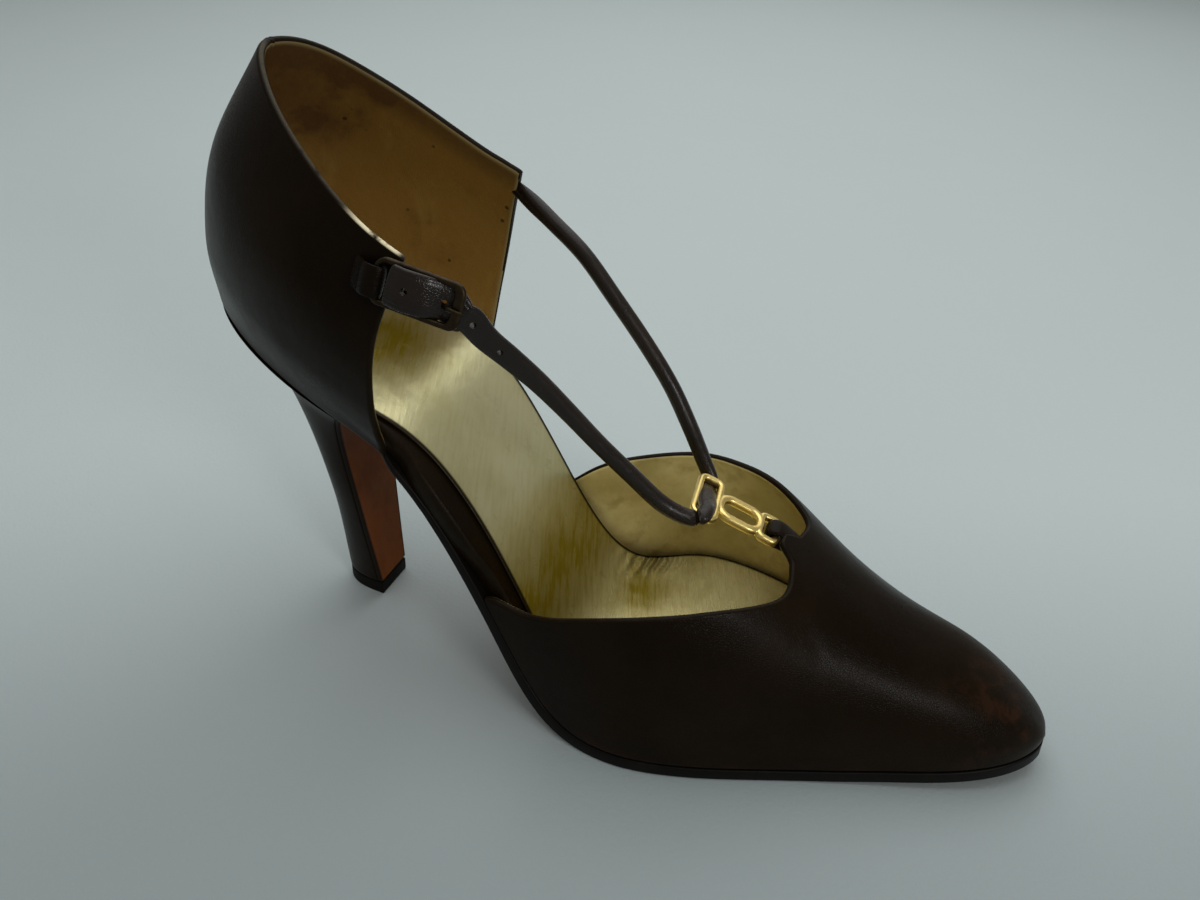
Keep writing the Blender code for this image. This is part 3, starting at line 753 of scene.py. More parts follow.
@dataclass
class Sweep:
    """Bar or band of changing section along a path."""

    path: Array
    width: Array
    wide: Array
    thick: Array
    square: Array
    sides: int = 24
    closed: bool = False
    least_radius: float = 0.3
    cap_degrees: tuple[float, ...] = (20, 40, 58, 74, 90)

    def axes(self) -> tuple[Array, Array, Array]:
        """Directions along the path, across it and out of it.

        Returns:
            Unit vectors, one of each for every station.
        """
        if self.closed:
            along = unit(np.roll(self.path, -1, 0) - np.roll(self.path, 1, 0))
        else:
            along = unit(np.gradient(self.path, axis=0))
        across = unit(self.width - along * np.sum(self.width * along, -1, keepdims=True))
        return along, across, np.cross(along, across)

    def rings(self, press: Callable[[Array, Array], Array] | None = None) -> Array:
        """Rings of points along the path.

        Args:
            press: how far the surface is moved in, at a station and a turn from 0 to 1.

        Returns:
            Points, stations by sides.
        """
        along, across, out = self.axes()
        turn = np.linspace(0, 1, self.sides + 1)
        c, s = np.cos(2 * math.pi * turn)[None], np.sin(2 * math.pi * turn)[None]
        power = 2 / np.asarray(self.square)[:, None]
        wide = np.sign(c) * np.abs(c) ** power * np.asarray(self.wide)[:, None] / 2
        deep = np.sign(s) * np.abs(s) ** power * np.asarray(self.thick)[:, None] / 2
        if press is not None:
            station = np.arange(len(self.path))[:, None]
            depth = press(station + 0 * turn, turn + 0 * deep)
            small = 1 - depth / np.maximum(np.hypot(wide, deep), self.least_radius)
            wide, deep = wide * small, deep * small
        return self.path[:, None] + across[:, None] * wide[..., None] + out[:, None] * deep[..., None]

    def caps(self, rings: Array) -> list[Array]:
        """Round ends beyond the first and the last ring.

        Args:
            rings: the rings along the path.

        Returns:
            The rings of both ends, in the order of the path.
        """
        along = self.axes()[0]
        caps = []
        for end, way in ((0, -1), (-1, 1)):
            reach = way * along[end] * float(np.asarray(self.thick)[end]) / 2
            middle = self.path[end]
            turns = np.radians(self.cap_degrees)
            cap = [middle + (rings[end] - middle) * math.cos(a) + reach * math.sin(a) for a in turns]
            caps.append(np.array(cap[::way]))
        return caps

    def build(self, name: str, press: Callable | None = None, **marks: Array) -> Object:
        """Makes the swept body.

        Args:
            name: name of the piece.
            press: as for rings.
            marks: values at each station, kept on the mesh.

        Returns:
            A closed mesh.
        """
        rings = self.rings(press)
        marks = {mark: np.asarray(values)[:, None] for mark, values in marks.items()}
        if self.closed:
            rings = np.concatenate([rings, rings[:1]])
            marks = {mark: np.concatenate([values, values[:1]]) for mark, values in marks.items()}
        else:
            first, last = self.caps(rings)
            rings = np.concatenate([first, rings, last])
            pad = ((len(first), len(last)), (0, 0))
            marks = {mark: np.pad(values, pad, "edge") for mark, values in marks.items()}
        return Workbench.close(Workbench.grid(name, rings, **marks))


# Shader maths

EVEN = (1.0, 1.0, 1.0)
UNTURNED = (0.0, 0.0, 0.0)


class Value:
    """A number that changes over a surface, with Python's arithmetic."""

    def __init__(self, dress: Dress, socket: Socket) -> None:
        """Wraps a socket of a material."""
        self.dress = dress
        self.socket = socket

    def math(self, operation: str, *others: Value | float) -> Value:
        """A Math node on this value and others."""
        values = {i: other for i, other in enumerate((self, *others))}
        return self.dress.value("ShaderNodeMath", {"operation": operation}, values)

    def turned(self, operation: str, other: float) -> Value:
        """A Math node with this value second."""
        return self.dress.value("ShaderNodeMath", {"operation": operation}, {0: other, 1: self})

    def __add__(self, other: Value | float) -> Value:
        """Sum."""
        return self.math("ADD", other)

    def __radd__(self, other: float) -> Value:
        """Sum, number first."""
        return self.math("ADD", other)

    def __sub__(self, other: Value | float) -> Value:
        """Difference."""
        return self.math("SUBTRACT", other)

    def __rsub__(self, other: float) -> Value:
        """Difference, number first."""
        return self.turned("SUBTRACT", other)

    def __mul__(self, other: Value | float) -> Value:
        """Product."""
        return self.math("MULTIPLY", other)

    def __rmul__(self, other: float) -> Value:
        """Product, number first."""
        return self.math("MULTIPLY", other)

    def step(self, low: float, high: float) -> Value:
        """Soft step from nought at low to one at high, falling where low is the larger.

        Args:
            low: where it is nought.
            high: where it is one.

        Returns:
            The step, from 0 to 1.
        """
        settings = {"interpolation_type": "SMOOTHSTEP", "clamp": True}
        ends = {"From Min": min(low, high), "From Max": max(low, high)}
        ends |= {"To Min": float(low > high), "To Max": float(low < high)}
        return self.dress.value("ShaderNodeMapRange", settings, {"Value": self, **ends})


class Grain(NamedTuple):
    """Cloudy pattern: size of its blotches in millimetres, how fine it is, and its own axes."""

    size: float
    detail: float = 3.0
    rough: float = 0.55
    stretch: Triple = EVEN
    turn: Triple = UNTURNED


class Cells(Enum):
    """What a pattern of cells measures from: the edges of the cells or their middles."""

    EDGE = "DISTANCE_TO_EDGE"
    SPOT = "F1"


class MixSocket(IntEnum):
    """Sockets of a Mix node that blends colours."""

    FACTOR = 0
    FIRST = 6
    SECOND = 7
    RESULT = 2


class Dress:
    """A material being made."""

    def __init__(self, name: str) -> None:
        """Starts an empty Principled material.

        Args:
            name: name of the material.
        """
        self.material = bpy.data.materials.new(name)
        self.material.use_nodes = True
        self.tree = self.material.node_tree
        self.shader = self.tree.nodes["Principled BSDF"]

    def plug(self, socket: Socket, value: Value | Socket | Colour | float) -> None:
        """Fills an input of a node.

        Args:
            socket: the input.
            value: what is linked to it or, if it is plain, set on it.
        """
        value = value.socket if isinstance(value, Value) else value
        if isinstance(value, Socket):
            self.tree.links.new(value, socket)
        else:
            socket.default_value = value

    def node(self, kind: str, settings: dict, inputs: dict) -> bpy.types.Node:
        """Any node.

        Args:
            kind: type of node.
            settings: its properties, set first.
            inputs: values, wrapped values or sockets by the name or number of its inputs.

        Returns:
            The node.
        """
        made = self.tree.nodes.new(kind)
        for name, value in settings.items():
            setattr(made, name, value)
        for name, value in inputs.items():
            self.plug(made.inputs[name], value)
        return made

    def value(self, kind: str, settings: dict, inputs: dict, out: str | int = 0) -> Value:
        """One output of a new node as a value."""
        return Value(self, self.node(kind, settings, inputs).outputs[out])

    def place(self, stretch: Triple = EVEN, turn: Triple = UNTURNED) -> Socket:
        """Object coordinates along turned axes, with patterns drawn out along each.

        Args:
            stretch: how far patterns are drawn out along each axis.
            turn: turn of the axes in radians.

        Returns:
            The socket of the coordinates.
        """
        source = self.node("ShaderNodeTexCoord", {}, {}).outputs["Object"]
        if (stretch, turn) == (EVEN, UNTURNED):
            return source
        inputs = {"Vector": source, "Scale": stretch, "Rotation": turn}
        return self.node("ShaderNodeMapping", {"vector_type": "TEXTURE"}, inputs).outputs[0]

    def axis(self, name: str) -> Value:
        """X, Y or Z of the last's frame in millimetres."""
        parts = self.node("ShaderNodeSeparateXYZ", {}, {0: self.place()})
        return Value(self, parts.outputs[name]) * (1 / MM) + float(MIDDLE["XYZ".index(name)])

    def mark(self, name: str) -> Value:
        """A value kept on the mesh."""
        settings = {"attribute_type": "GEOMETRY", "attribute_name": name}
        return self.value("ShaderNodeAttribute", settings, {}, "Fac")

    def noise(self, grain: Grain) -> Value:
        """Cloudy noise, from 0 to 1.

        Args:
            grain: its size, fineness and axes.

        Returns:
            The noise.
        """
        place = self.place(grain.stretch, grain.turn)
        inputs = {"Vector": place, "Scale": 1 / (grain.size * MM)}
        inputs |= {"Detail": grain.detail, "Roughness": grain.rough}
        return self.value("ShaderNodeTexNoise", {}, inputs)

    def cells(self, size: float, feature: Cells = Cells.EDGE) -> Value:
        """Distances in a pattern of cells of a size in millimetres."""
        inputs = {"Vector": self.place(), "Scale": 1 / (size * MM)}
        return self.value("ShaderNodeTexVoronoi", {"feature": feature.value}, inputs, "Distance")

    def mix(self, factor: Value, first: Colour | Socket, second: Colour) -> Socket:
        """Colour between two colours.

        Args:
            factor: share of the second colour.
            first: the first colour, or its socket.
            second: the second colour.

        Returns:
            The socket of the mixed colour.
        """
        ends = [(*c, 1.0) if isinstance(c, tuple) else c for c in (first, second)]
        inputs = {MixSocket.FACTOR: factor, MixSocket.FIRST: ends[0], MixSocket.SECOND: ends[1]}
        settings = {"data_type": "RGBA", "clamp_factor": True}
        return self.node("ShaderNodeMix", settings, inputs).outputs[MixSocket.RESULT]

    def bump(self, height: Value, depth: float, under: Socket | None = None) -> Socket:
        """Surface relief of a depth in millimetres, on top of another.

        Args:
            height: the relief, from 0 to 1.
            depth: its depth in millimetres.
            under: relief that it lies on.

        Returns:
            The socket of the normal.
        """
        inputs = {"Height": height, "Distance": depth * MM, "Strength": 1.0}
        if under is not None:
            inputs["Normal"] = under
        return self.node("ShaderNodeBump", {}, inputs).outputs[0]

    def set(self, **inputs: object) -> Material:
        """Sets inputs of the shader, with spaces for underscores, and returns the material.

        Args:
            inputs: values or sockets by the names of the shader's inputs.

        Returns:
            The material.
        """
        for name, value in inputs.items():
            self.plug(self.shader.inputs[name.replace("_", " ")], value)
        return self.material


# Finishes


@dataclass(frozen=True)
class BrownCalf:
    """Smooth dark brown calf: fine grain, polish worn patchy, scuffs, and a painted glint."""

    name: str = "brown_calf"
    deep: Colour = (0.0070, 0.0036, 0.0009)
    worn: Colour = (0.0138, 0.0074, 0.0024)
    scuffed: Colour = (0.036, 0.0135, 0.0052)
    edge_tint: Colour = (0.0165, 0.0115, 0.0056)
    # Colour of the painted highlight on the quarter's topline rim
    glint: Colour = (0.92, 0.84, 0.56)
    shine: float = 0.29
    coat: float = 0.0
    coat_rough: float = 0.3
    mirror: float = 0.07
    pore: float = 0.55
    grain_depth: float = 0.028
    swell_depth: float = 0.25
    cloud: Grain = Grain(26.0, 4.0)
    speck: Grain = Grain(1.6, 3.0, 0.65)
    patch: Grain = Grain(7.0, 6.0, 0.68)
    scratch: Grain = Grain(9.0, 5.0, 0.7, (6.0, 0.6, 2.0), (0.2, 0.5, 0.9))
    rim_wear: Grain = Grain(5.0)
    glint_breaks: Grain = Grain(4.0)
    wrinkle: Grain = Grain(1.1, 4.0, 0.6)
    swell: Grain = Grain(14.0, 2.0)

    def make(self) -> Material:
        """Makes the material.

        Returns:
            The material.
        """
        dress = Dress(self.name)
        cloud = dress.noise(self.cloud)
        speck = dress.noise(self.speck)
        scuff = dress.mark("scuff")
        patch = dress.noise(self.patch).step(0.47, 0.66) * scuff
        scratch = dress.noise(self.scratch).step(0.6, 0.72)
        rubbed = cloud.step(0.35, 0.7) * 0.6 + speck.step(0.5, 0.8) * 0.25
        colour = dress.mix(rubbed, self.deep, self.worn)
        colour = dress.mix(patch * 0.75 + scratch * scuff * 0.4, colour, self.scuffed)
        rim_wear = 0.2 + dress.noise(self.rim_wear).step(0.35, 0.7) * 0.45
        rim = dress.mark("edge").step(0.9, 0.2) * rim_wear
        colour = dress.mix(rim, colour, self.edge_tint)
        # Painted highlight: a bright gold glint where the glint mark is, broken up by noise; the faint
        # part of the mark lightens the lining's edge
        glint = dress.mark("glint") * dress.noise(self.glint_breaks).step(0.34, 0.5)
        colour = dress.mix(glint, colour, self.glint)
        pores = dress.cells(self.pore).step(0.0, 0.16)
        wrinkle = dress.noise(self.wrinkle)
        normal = dress.bump(dress.noise(self.swell), self.swell_depth)
        normal = dress.bump(pores * 0.6 + wrinkle * 0.8 + patch * 0.7, self.grain_depth, normal)
        rough = cloud.step(0.3, 0.75) * 0.1 + speck * 0.08 + patch * 0.14 + (self.shine - 0.06)
        return dress.set(
            Base_Color=colour,
            Roughness=rough,
            Normal=normal,
            Coat_Weight=self.coat,
            Coat_Roughness=self.coat_rough,
            Specular_IOR_Level=self.mirror,
        )


@dataclass(frozen=True)
class TanLining:
    """Unpolished tan lining leather, darkened by wear at the back and along its top."""

    name: str = "tan_lining"
    clean: Colour = (0.245, 0.122, 0.0185)
    pale: Colour = (0.36, 0.215, 0.050)
    dark: Colour = (0.088, 0.038, 0.0085)
    rim: Colour = (0.25, 0.19, 0.075)
    spot: Colour = (0.02, 0.010, 0.004)
    spot_size: float = 6.0
    mirror: float = 0.25
    pore: float = 0.5
    grain_depth: float = 0.04
    swell_depth: float = 0.25
    cloud: Grain = Grain(17.0, 5.0, 0.62)
    fine: Grain = Grain(2.2, 4.0, 0.6)
    rub: Grain = Grain(9.0, 4.0, stretch=(1.0, 1.0, 2.8))
    spotted: Grain = Grain(11.0)
    swell: Grain = Grain(6.0)

    def make(self) -> Material:
        """Makes the material.

        Returns:
            The material.
        """
        dress = Dress(self.name)
        cloud = dress.noise(self.cloud)
        fine = dress.noise(self.fine)
        # Darker where marked: stains, and painted shade at the bottom edge
        stain_and_shade = dress.mark("stain_and_shade")
        rub = dress.noise(self.rub).step(0.5, 0.72)
        colour = dress.mix(rub * 0.55 + fine * 0.2, self.clean, self.pale)
        smear = cloud.step(0.48, 0.74) * 0.55
        colour = dress.mix((stain_and_shade + smear) * (0.75 + fine * 0.5), colour, self.dark)
        spot = dress.cells(self.spot_size, Cells.SPOT).step(0.13, 0.07)
        spot = spot * dress.noise(self.spotted).step(0.5, 0.56)
        colour = dress.mix(spot * 0.8, colour, self.spot)
        rim = dress.mark("edge").step(1.7, 0.5)
        colour = dress.mix(rim * 0.75, colour, self.rim)
        normal = dress.bump(dress.noise(self.swell), self.swell_depth)
        pores = dress.cells(self.pore).step(0.0, 0.2)
        normal = dress.bump(fine + pores * 0.5, self.grain_depth, normal)
        rough = 0.42 + fine * 0.22
        return dress.set(
            Base_Color=colour,
            Roughness=rough,
            Normal=normal,
            Specular_IOR_Level=self.mirror,
        )


@dataclass(frozen=True)
class KhakiLining:
    """Khaki and gold lining leather of the vamp, with a faint metallic lustre."""

    name: str = "khaki_lining"
    clean: Colour = (0.60, 0.48, 0.165)
    pale: Colour = (0.76, 0.65, 0.285)
    dark: Colour = (0.38, 0.26, 0.064)
    lustre: float = 0.1
    pore: float = 0.6
    grain_depth: float = 0.03
    swell_depth: float = 0.2
    cloud: Grain = Grain(15.0, 5.0, 0.6)
    fine: Grain = Grain(1.8, 4.0, 0.6)
    blot: Grain = Grain(8.0, 4.0, 0.6)
    swell: Grain = Grain(5.0)

    def make(self) -> Material:
        """Makes the material.

        Returns:
            The material.
        """
        dress = Dress(self.name)
        cloud = dress.noise(self.cloud)
        fine = dress.noise(self.fine)
        colour = dress.mix(cloud.step(0.3, 0.62), self.clean, self.pale)
        blot = dress.noise(self.blot).step(0.5, 0.72) * 0.5
        # Painted shade from the mark: darker along the lining's foot and towards the toe box, plus
        # random blots
        colour = dress.mix(dress.mark("stain_and_shade") * (0.5 + cloud * 0.8) + blot, colour, self.dark)
        normal = dress.bump(dress.noise(self.swell), self.swell_depth)
        pores = dress.cells(self.pore).step(0.0, 0.2)
        normal = dress.bump(fine + pores * 0.4, self.grain_depth, normal)
        rough = 0.4 + fine * 0.15
        return dress.set(Base_Color=colour, Metallic=self.lustre, Roughness=rough, Normal=normal)


@dataclass(frozen=True)
class GoldLeather:
    """Gold foiled sock leather: bright metal with fine drag lines, rubbed dull by the foot."""

    name: str = "gold_leather"
    bright: Colour = (0.70, 0.665, 0.385)
    # Lighter copy of the bright gold: painted light for the forepart in the vamp's shade
    fore: Colour = (1.0, 0.95, 0.54)
    olive: Colour = (0.31, 0.240, 0.012)
    rubbed: Colour = (0.215, 0.158, 0.016)
    # Painted shade: dark line along the sock's edge, for the gap beside it
    edge: Colour = (0.022, 0.015, 0.005)
    fore_from: float = 97.0
    fore_to: float = 109.0
    pleat_turn: float = 2.4
    pleat_depth: float = 0.8
    swell_depth: float = 0.35
    drag_depth: float = 0.05
    cloud: Grain = Grain(22.0, 4.0, 0.6)
    drag: Grain = Grain(0.8, 3.0, 0.6, (1.0, 12.0, 12.0), (0.0, 0.0, 0.353))
    fine: Grain = Grain(0.7, 3.0, 0.6)
    blotch: Grain = Grain(15.0)
    rub: Grain = Grain(4.0, 5.0, 0.68)
    waver: Grain = Grain(5.0)
    swell: Grain = Grain(12.0, 2.0)

    def make(self) -> Material:
        """Makes the material.

        Returns:
            The material.
        """
        dress = Dress(self.name)
        cloud = dress.noise(self.cloud)
        drag = dress.noise(self.drag)
        # The worn mark holds rubbed wear, and painted shade on the seat
        worn = dress.mark("worn")
        fine = dress.noise(self.fine)
        fore = dress.axis("X").step(self.fore_from, self.fore_to)
        blotch = dress.noise(self.blotch).step(0.44, 0.66) * fore
        dull = cloud.step(0.35, 0.75) * 0.25 + drag.step(0.4, 0.7) * (0.1 + worn * 0.18 + fore * 0.06)
        dull = dull + worn * 0.75 + blotch * 0.26
        # Painted light: the forepart under the vamp takes the lighter copy of the gold, against the
        # vamp's shade
        colour = dress.mix(fore, self.bright, self.fore)
        colour = dress.mix(dull, colour, self.olive)
        rub = dress.noise(self.rub).step(0.56, 0.7) * (0.12 + worn * 0.55)
        colour = dress.mix(rub, colour, self.rubbed)
        # Painted shade: a dark line along the sock's edge, for the gap between the sock and the lining
        colour = dress.mix(dress.mark("edge").step(1.5, 0.7), colour, self.edge)
        pleated = dress.mark("pleat")
        turn = dress.axis("X") * self.pleat_turn + dress.noise(self.waver) * 5.0
        pleat = turn.math("SINE") * pleated
        normal = dress.bump(dress.noise(self.swell), self.swell_depth)
        normal = dress.bump(pleat, self.pleat_depth, normal)
        normal = dress.bump(drag + fine * 0.5, self.drag_depth, normal)
        rough = drag * 0.16 + rub * 0.25 + cloud * 0.1 + 0.2 - fore * 0.06 - pleated * 0.06
        metal = 0.72 - rub * 0.3 - fore * 0.4 + pleated * 0.35
        return dress.set(Base_Color=colour, Metallic=metal, Roughness=rough, Normal=normal)


@dataclass(frozen=True)
class RussetLeather:
    """Russet sole leather of the breast and the underside, stained, and worn pale at the tread."""

    name: str = "russet_leather"
    clean: Colour = (0.200, 0.052, 0.0045)
    dark: Colour = (0.108, 0.029, 0.0030)
    pale: Colour = (0.36, 0.23, 0.13)
    edge_dye: Colour = (0.014, 0.008, 0.005)
    mirror: float = 0.06
    grain_depth: float = 0.06
    cloud: Grain = Grain(11.0, 5.0, 0.62)
    fibre: Grain = Grain(1.1, 4.0, 0.65, (1.0, 1.0, 4.0))
    tread: Grain = Grain(7.0, 6.0, 0.7)
    drag: Grain = Grain(3.0, 4.0, 0.7, (8.0, 1.0, 1.0))

    def make(self) -> Material:
        """Makes the material.

        Returns:
            The material.
        """
        dress = Dress(self.name)
        cloud = dress.noise(self.cloud)
        fibre = dress.noise(self.fibre)
        worn = dress.mark("worn") * dress.noise(self.tread).step(0.36, 0.6)
        drag = dress.noise(self.drag).step(0.55, 0.7) * worn
        stain_and_shade = cloud.step(0.35, 0.7) * 0.6 + fibre.step(0.5, 0.75) * 0.3
        colour = dress.mix(stain_and_shade, self.clean, self.dark)
        colour = dress.mix(worn * 0.8, colour, self.pale)
        colour = dress.mix(drag * 0.6, colour, self.dark)
        colour = dress.mix(dress.mark("edge").step(0.9, 0.15), colour, self.edge_dye)
        normal = dress.bump(fibre + drag * -0.6, self.grain_depth)
        rough = 0.38 + fibre * 0.18 + worn * 0.3
        return dress.set(
            Base_Color=colour,
            Roughness=rough,
            Normal=normal,
            Specular_IOR_Level=self.mirror,
        )


@dataclass(frozen=True)
class BlackDye:
    """Black dyed and burnished leather edge, or black rubber where it is rougher."""

    name: str
    base: Colour = (0.0044, 0.0036, 0.0029)
    grey: Colour = (0.012, 0.0095, 0.0074)
    rough: float = 0.38
    grain_depth: float = 0.05
    mirror: float = 0.1
    cloud: Grain = Grain(6.0, 5.0, 0.65)
    fine: Grain = Grain(0.6, 3.0, 0.6)

    def make(self) -> Material:
        """Makes the material.

        Returns:
            The material.
        """
        dress = Dress(self.name)
        cloud = dress.noise(self.cloud)
        fine = dress.noise(self.fine)
        rub = cloud.step(0.5, 0.72)
        colour = dress.mix(rub * 0.6 + fine * 0.2, self.base, self.grey)
        normal = dress.bump(fine + cloud, self.grain_depth)
        rough = rub * 0.2 + fine * 0.12 + (self.rough - 0.06)
        return dress.set(
            Base_Color=colour,
            Roughness=rough,
            Normal=normal,
            Specular_IOR_Level=self.mirror,
        )


@dataclass(frozen=True)
class Gilt:
    """Gilt metal with hair scratches, and a brown bloom in patches."""

    name: str
    bright: Colour
    bloom: Colour
    rough: float
    tarnish: float
    hair_depth: float = 0.012
    cloud: Grain = Grain(3.5, 5.0, 0.65)
    hair: Grain = Grain(0.5, 3.0, 0.6, (1.0, 8.0, 1.0), (0.3, 0.2, 0.7))

    def make(self) -> Material:
        """Makes the material.

        Returns:
            The material.
        """
        dress = Dress(self.name)
        cloud = dress.noise(self.cloud)
        hair = dress.noise(self.hair)
        dirt = cloud.step(0.62 - self.tarnish * 0.5, 0.85 - self.tarnish * 0.3)
        colour = dress.mix(dirt * (0.4 + self.tarnish * 0.6), self.bright, self.bloom)
        normal = dress.bump(hair + cloud * 0.6, self.hair_depth)
        rough = hair * 0.1 + dirt * 0.2 + (self.rough - 0.05)
        return dress.set(Base_Color=colour, Metallic=1.0, Roughness=rough, Normal=normal)


@dataclass(frozen=True)
class PaleCloth:
    """Pale grey cloth of the floor, with painted shade close to the camera's place."""

    ahead: tuple[float, float]
    start: float
    name: str = "pale_cloth"
    base: Colour = (0.595, 0.69, 0.69)
    shade: Colour = (0.57, 0.66, 0.66)
    # Painted shade close to the camera
    near: Colour = (0.365, 0.425, 0.43)
    near_end: float = 110.0
    far_end: float = 300.0
    rough: float = 0.9
    swell_depth: float = 1.2
    weave_depth: float = 0.12
    cloud: Grain = Grain(120.0, 3.0, 0.5)
    weave: Grain = Grain(1.3, 2.0, 0.6)
    swell: Grain = Grain(60.0, 2.0)

    def make(self) -> Material:
        """Makes the material.

        Returns:
            The material.
        """
        dress = Dress(self.name)
        cloud = dress.noise(self.cloud)
        weave = dress.noise(self.weave)
        colour = dress.mix(cloud * 0.7 + weave * 0.3, self.base, self.shade)
        # Painted shade: the cloth darkens towards the camera, standing in for the lamps' falloff
        ahead = dress.axis("Y") * self.ahead[1] + dress.axis("X") * self.ahead[0] - self.start
        colour = dress.mix(ahead.step(self.far_end, self.near_end), colour, self.near)
        normal = dress.bump(dress.noise(self.swell), self.swell_depth)
        normal = dress.bump(weave, self.weave_depth, normal)
        return dress.set(Base_Color=colour, Roughness=self.rough, Normal=normal)


class Finishes:
    """All the finishes of the shoe, each made once."""

    def __init__(self) -> None:
        """Makes the materials."""
        self.calf = BrownCalf().make()
        self.glossy_calf = BrownCalf(
            "polished_calf",
            deep=(0.0098, 0.0058, 0.0030),
            worn=(0.019, 0.0120, 0.0066),
            shine=0.22,
            coat=0.08,
            mirror=0.3,
        ).make()
        # Painted shade: a darker copy of the calf, made for the buckle's keeper loop, which faces the
        # light more than the quarter; the link's tab wears it too
        self.dark_calf = BrownCalf(
            "dark_calf",
            deep=(0.0062, 0.0036, 0.0014),
            worn=(0.0105, 0.0062, 0.0027),
            mirror=0.08,
        ).make()
        self.tan = TanLining().make()
        self.khaki = KhakiLining().make()
        self.gold = GoldLeather().make()
        self.russet = RussetLeather().make()
        self.black_edge = BlackDye("black_edge").make()
        self.rubber = BlackDye("black_rubber", rough=0.6, grain_depth=0.12).make()
        self.gilt = Gilt(
            "gilt",
            bright=(0.95, 0.74, 0.27),
            bloom=(0.48, 0.30, 0.07),
            rough=0.3,
            tarnish=0.0,
        ).make()
        self.bronze = Gilt(
            "dark_brass",
            bright=(0.045, 0.033, 0.019),
            bloom=(0.018, 0.0125, 0.008),
            rough=0.36,
            tarnish=0.5,
        ).make()


# Upper


class Crease(NamedTuple):
    """Slanting trough in the vamp: depth, place along, and place around."""

    depth: float
    slant: float
    x: float
    reach: float
    around: float
    spread: float


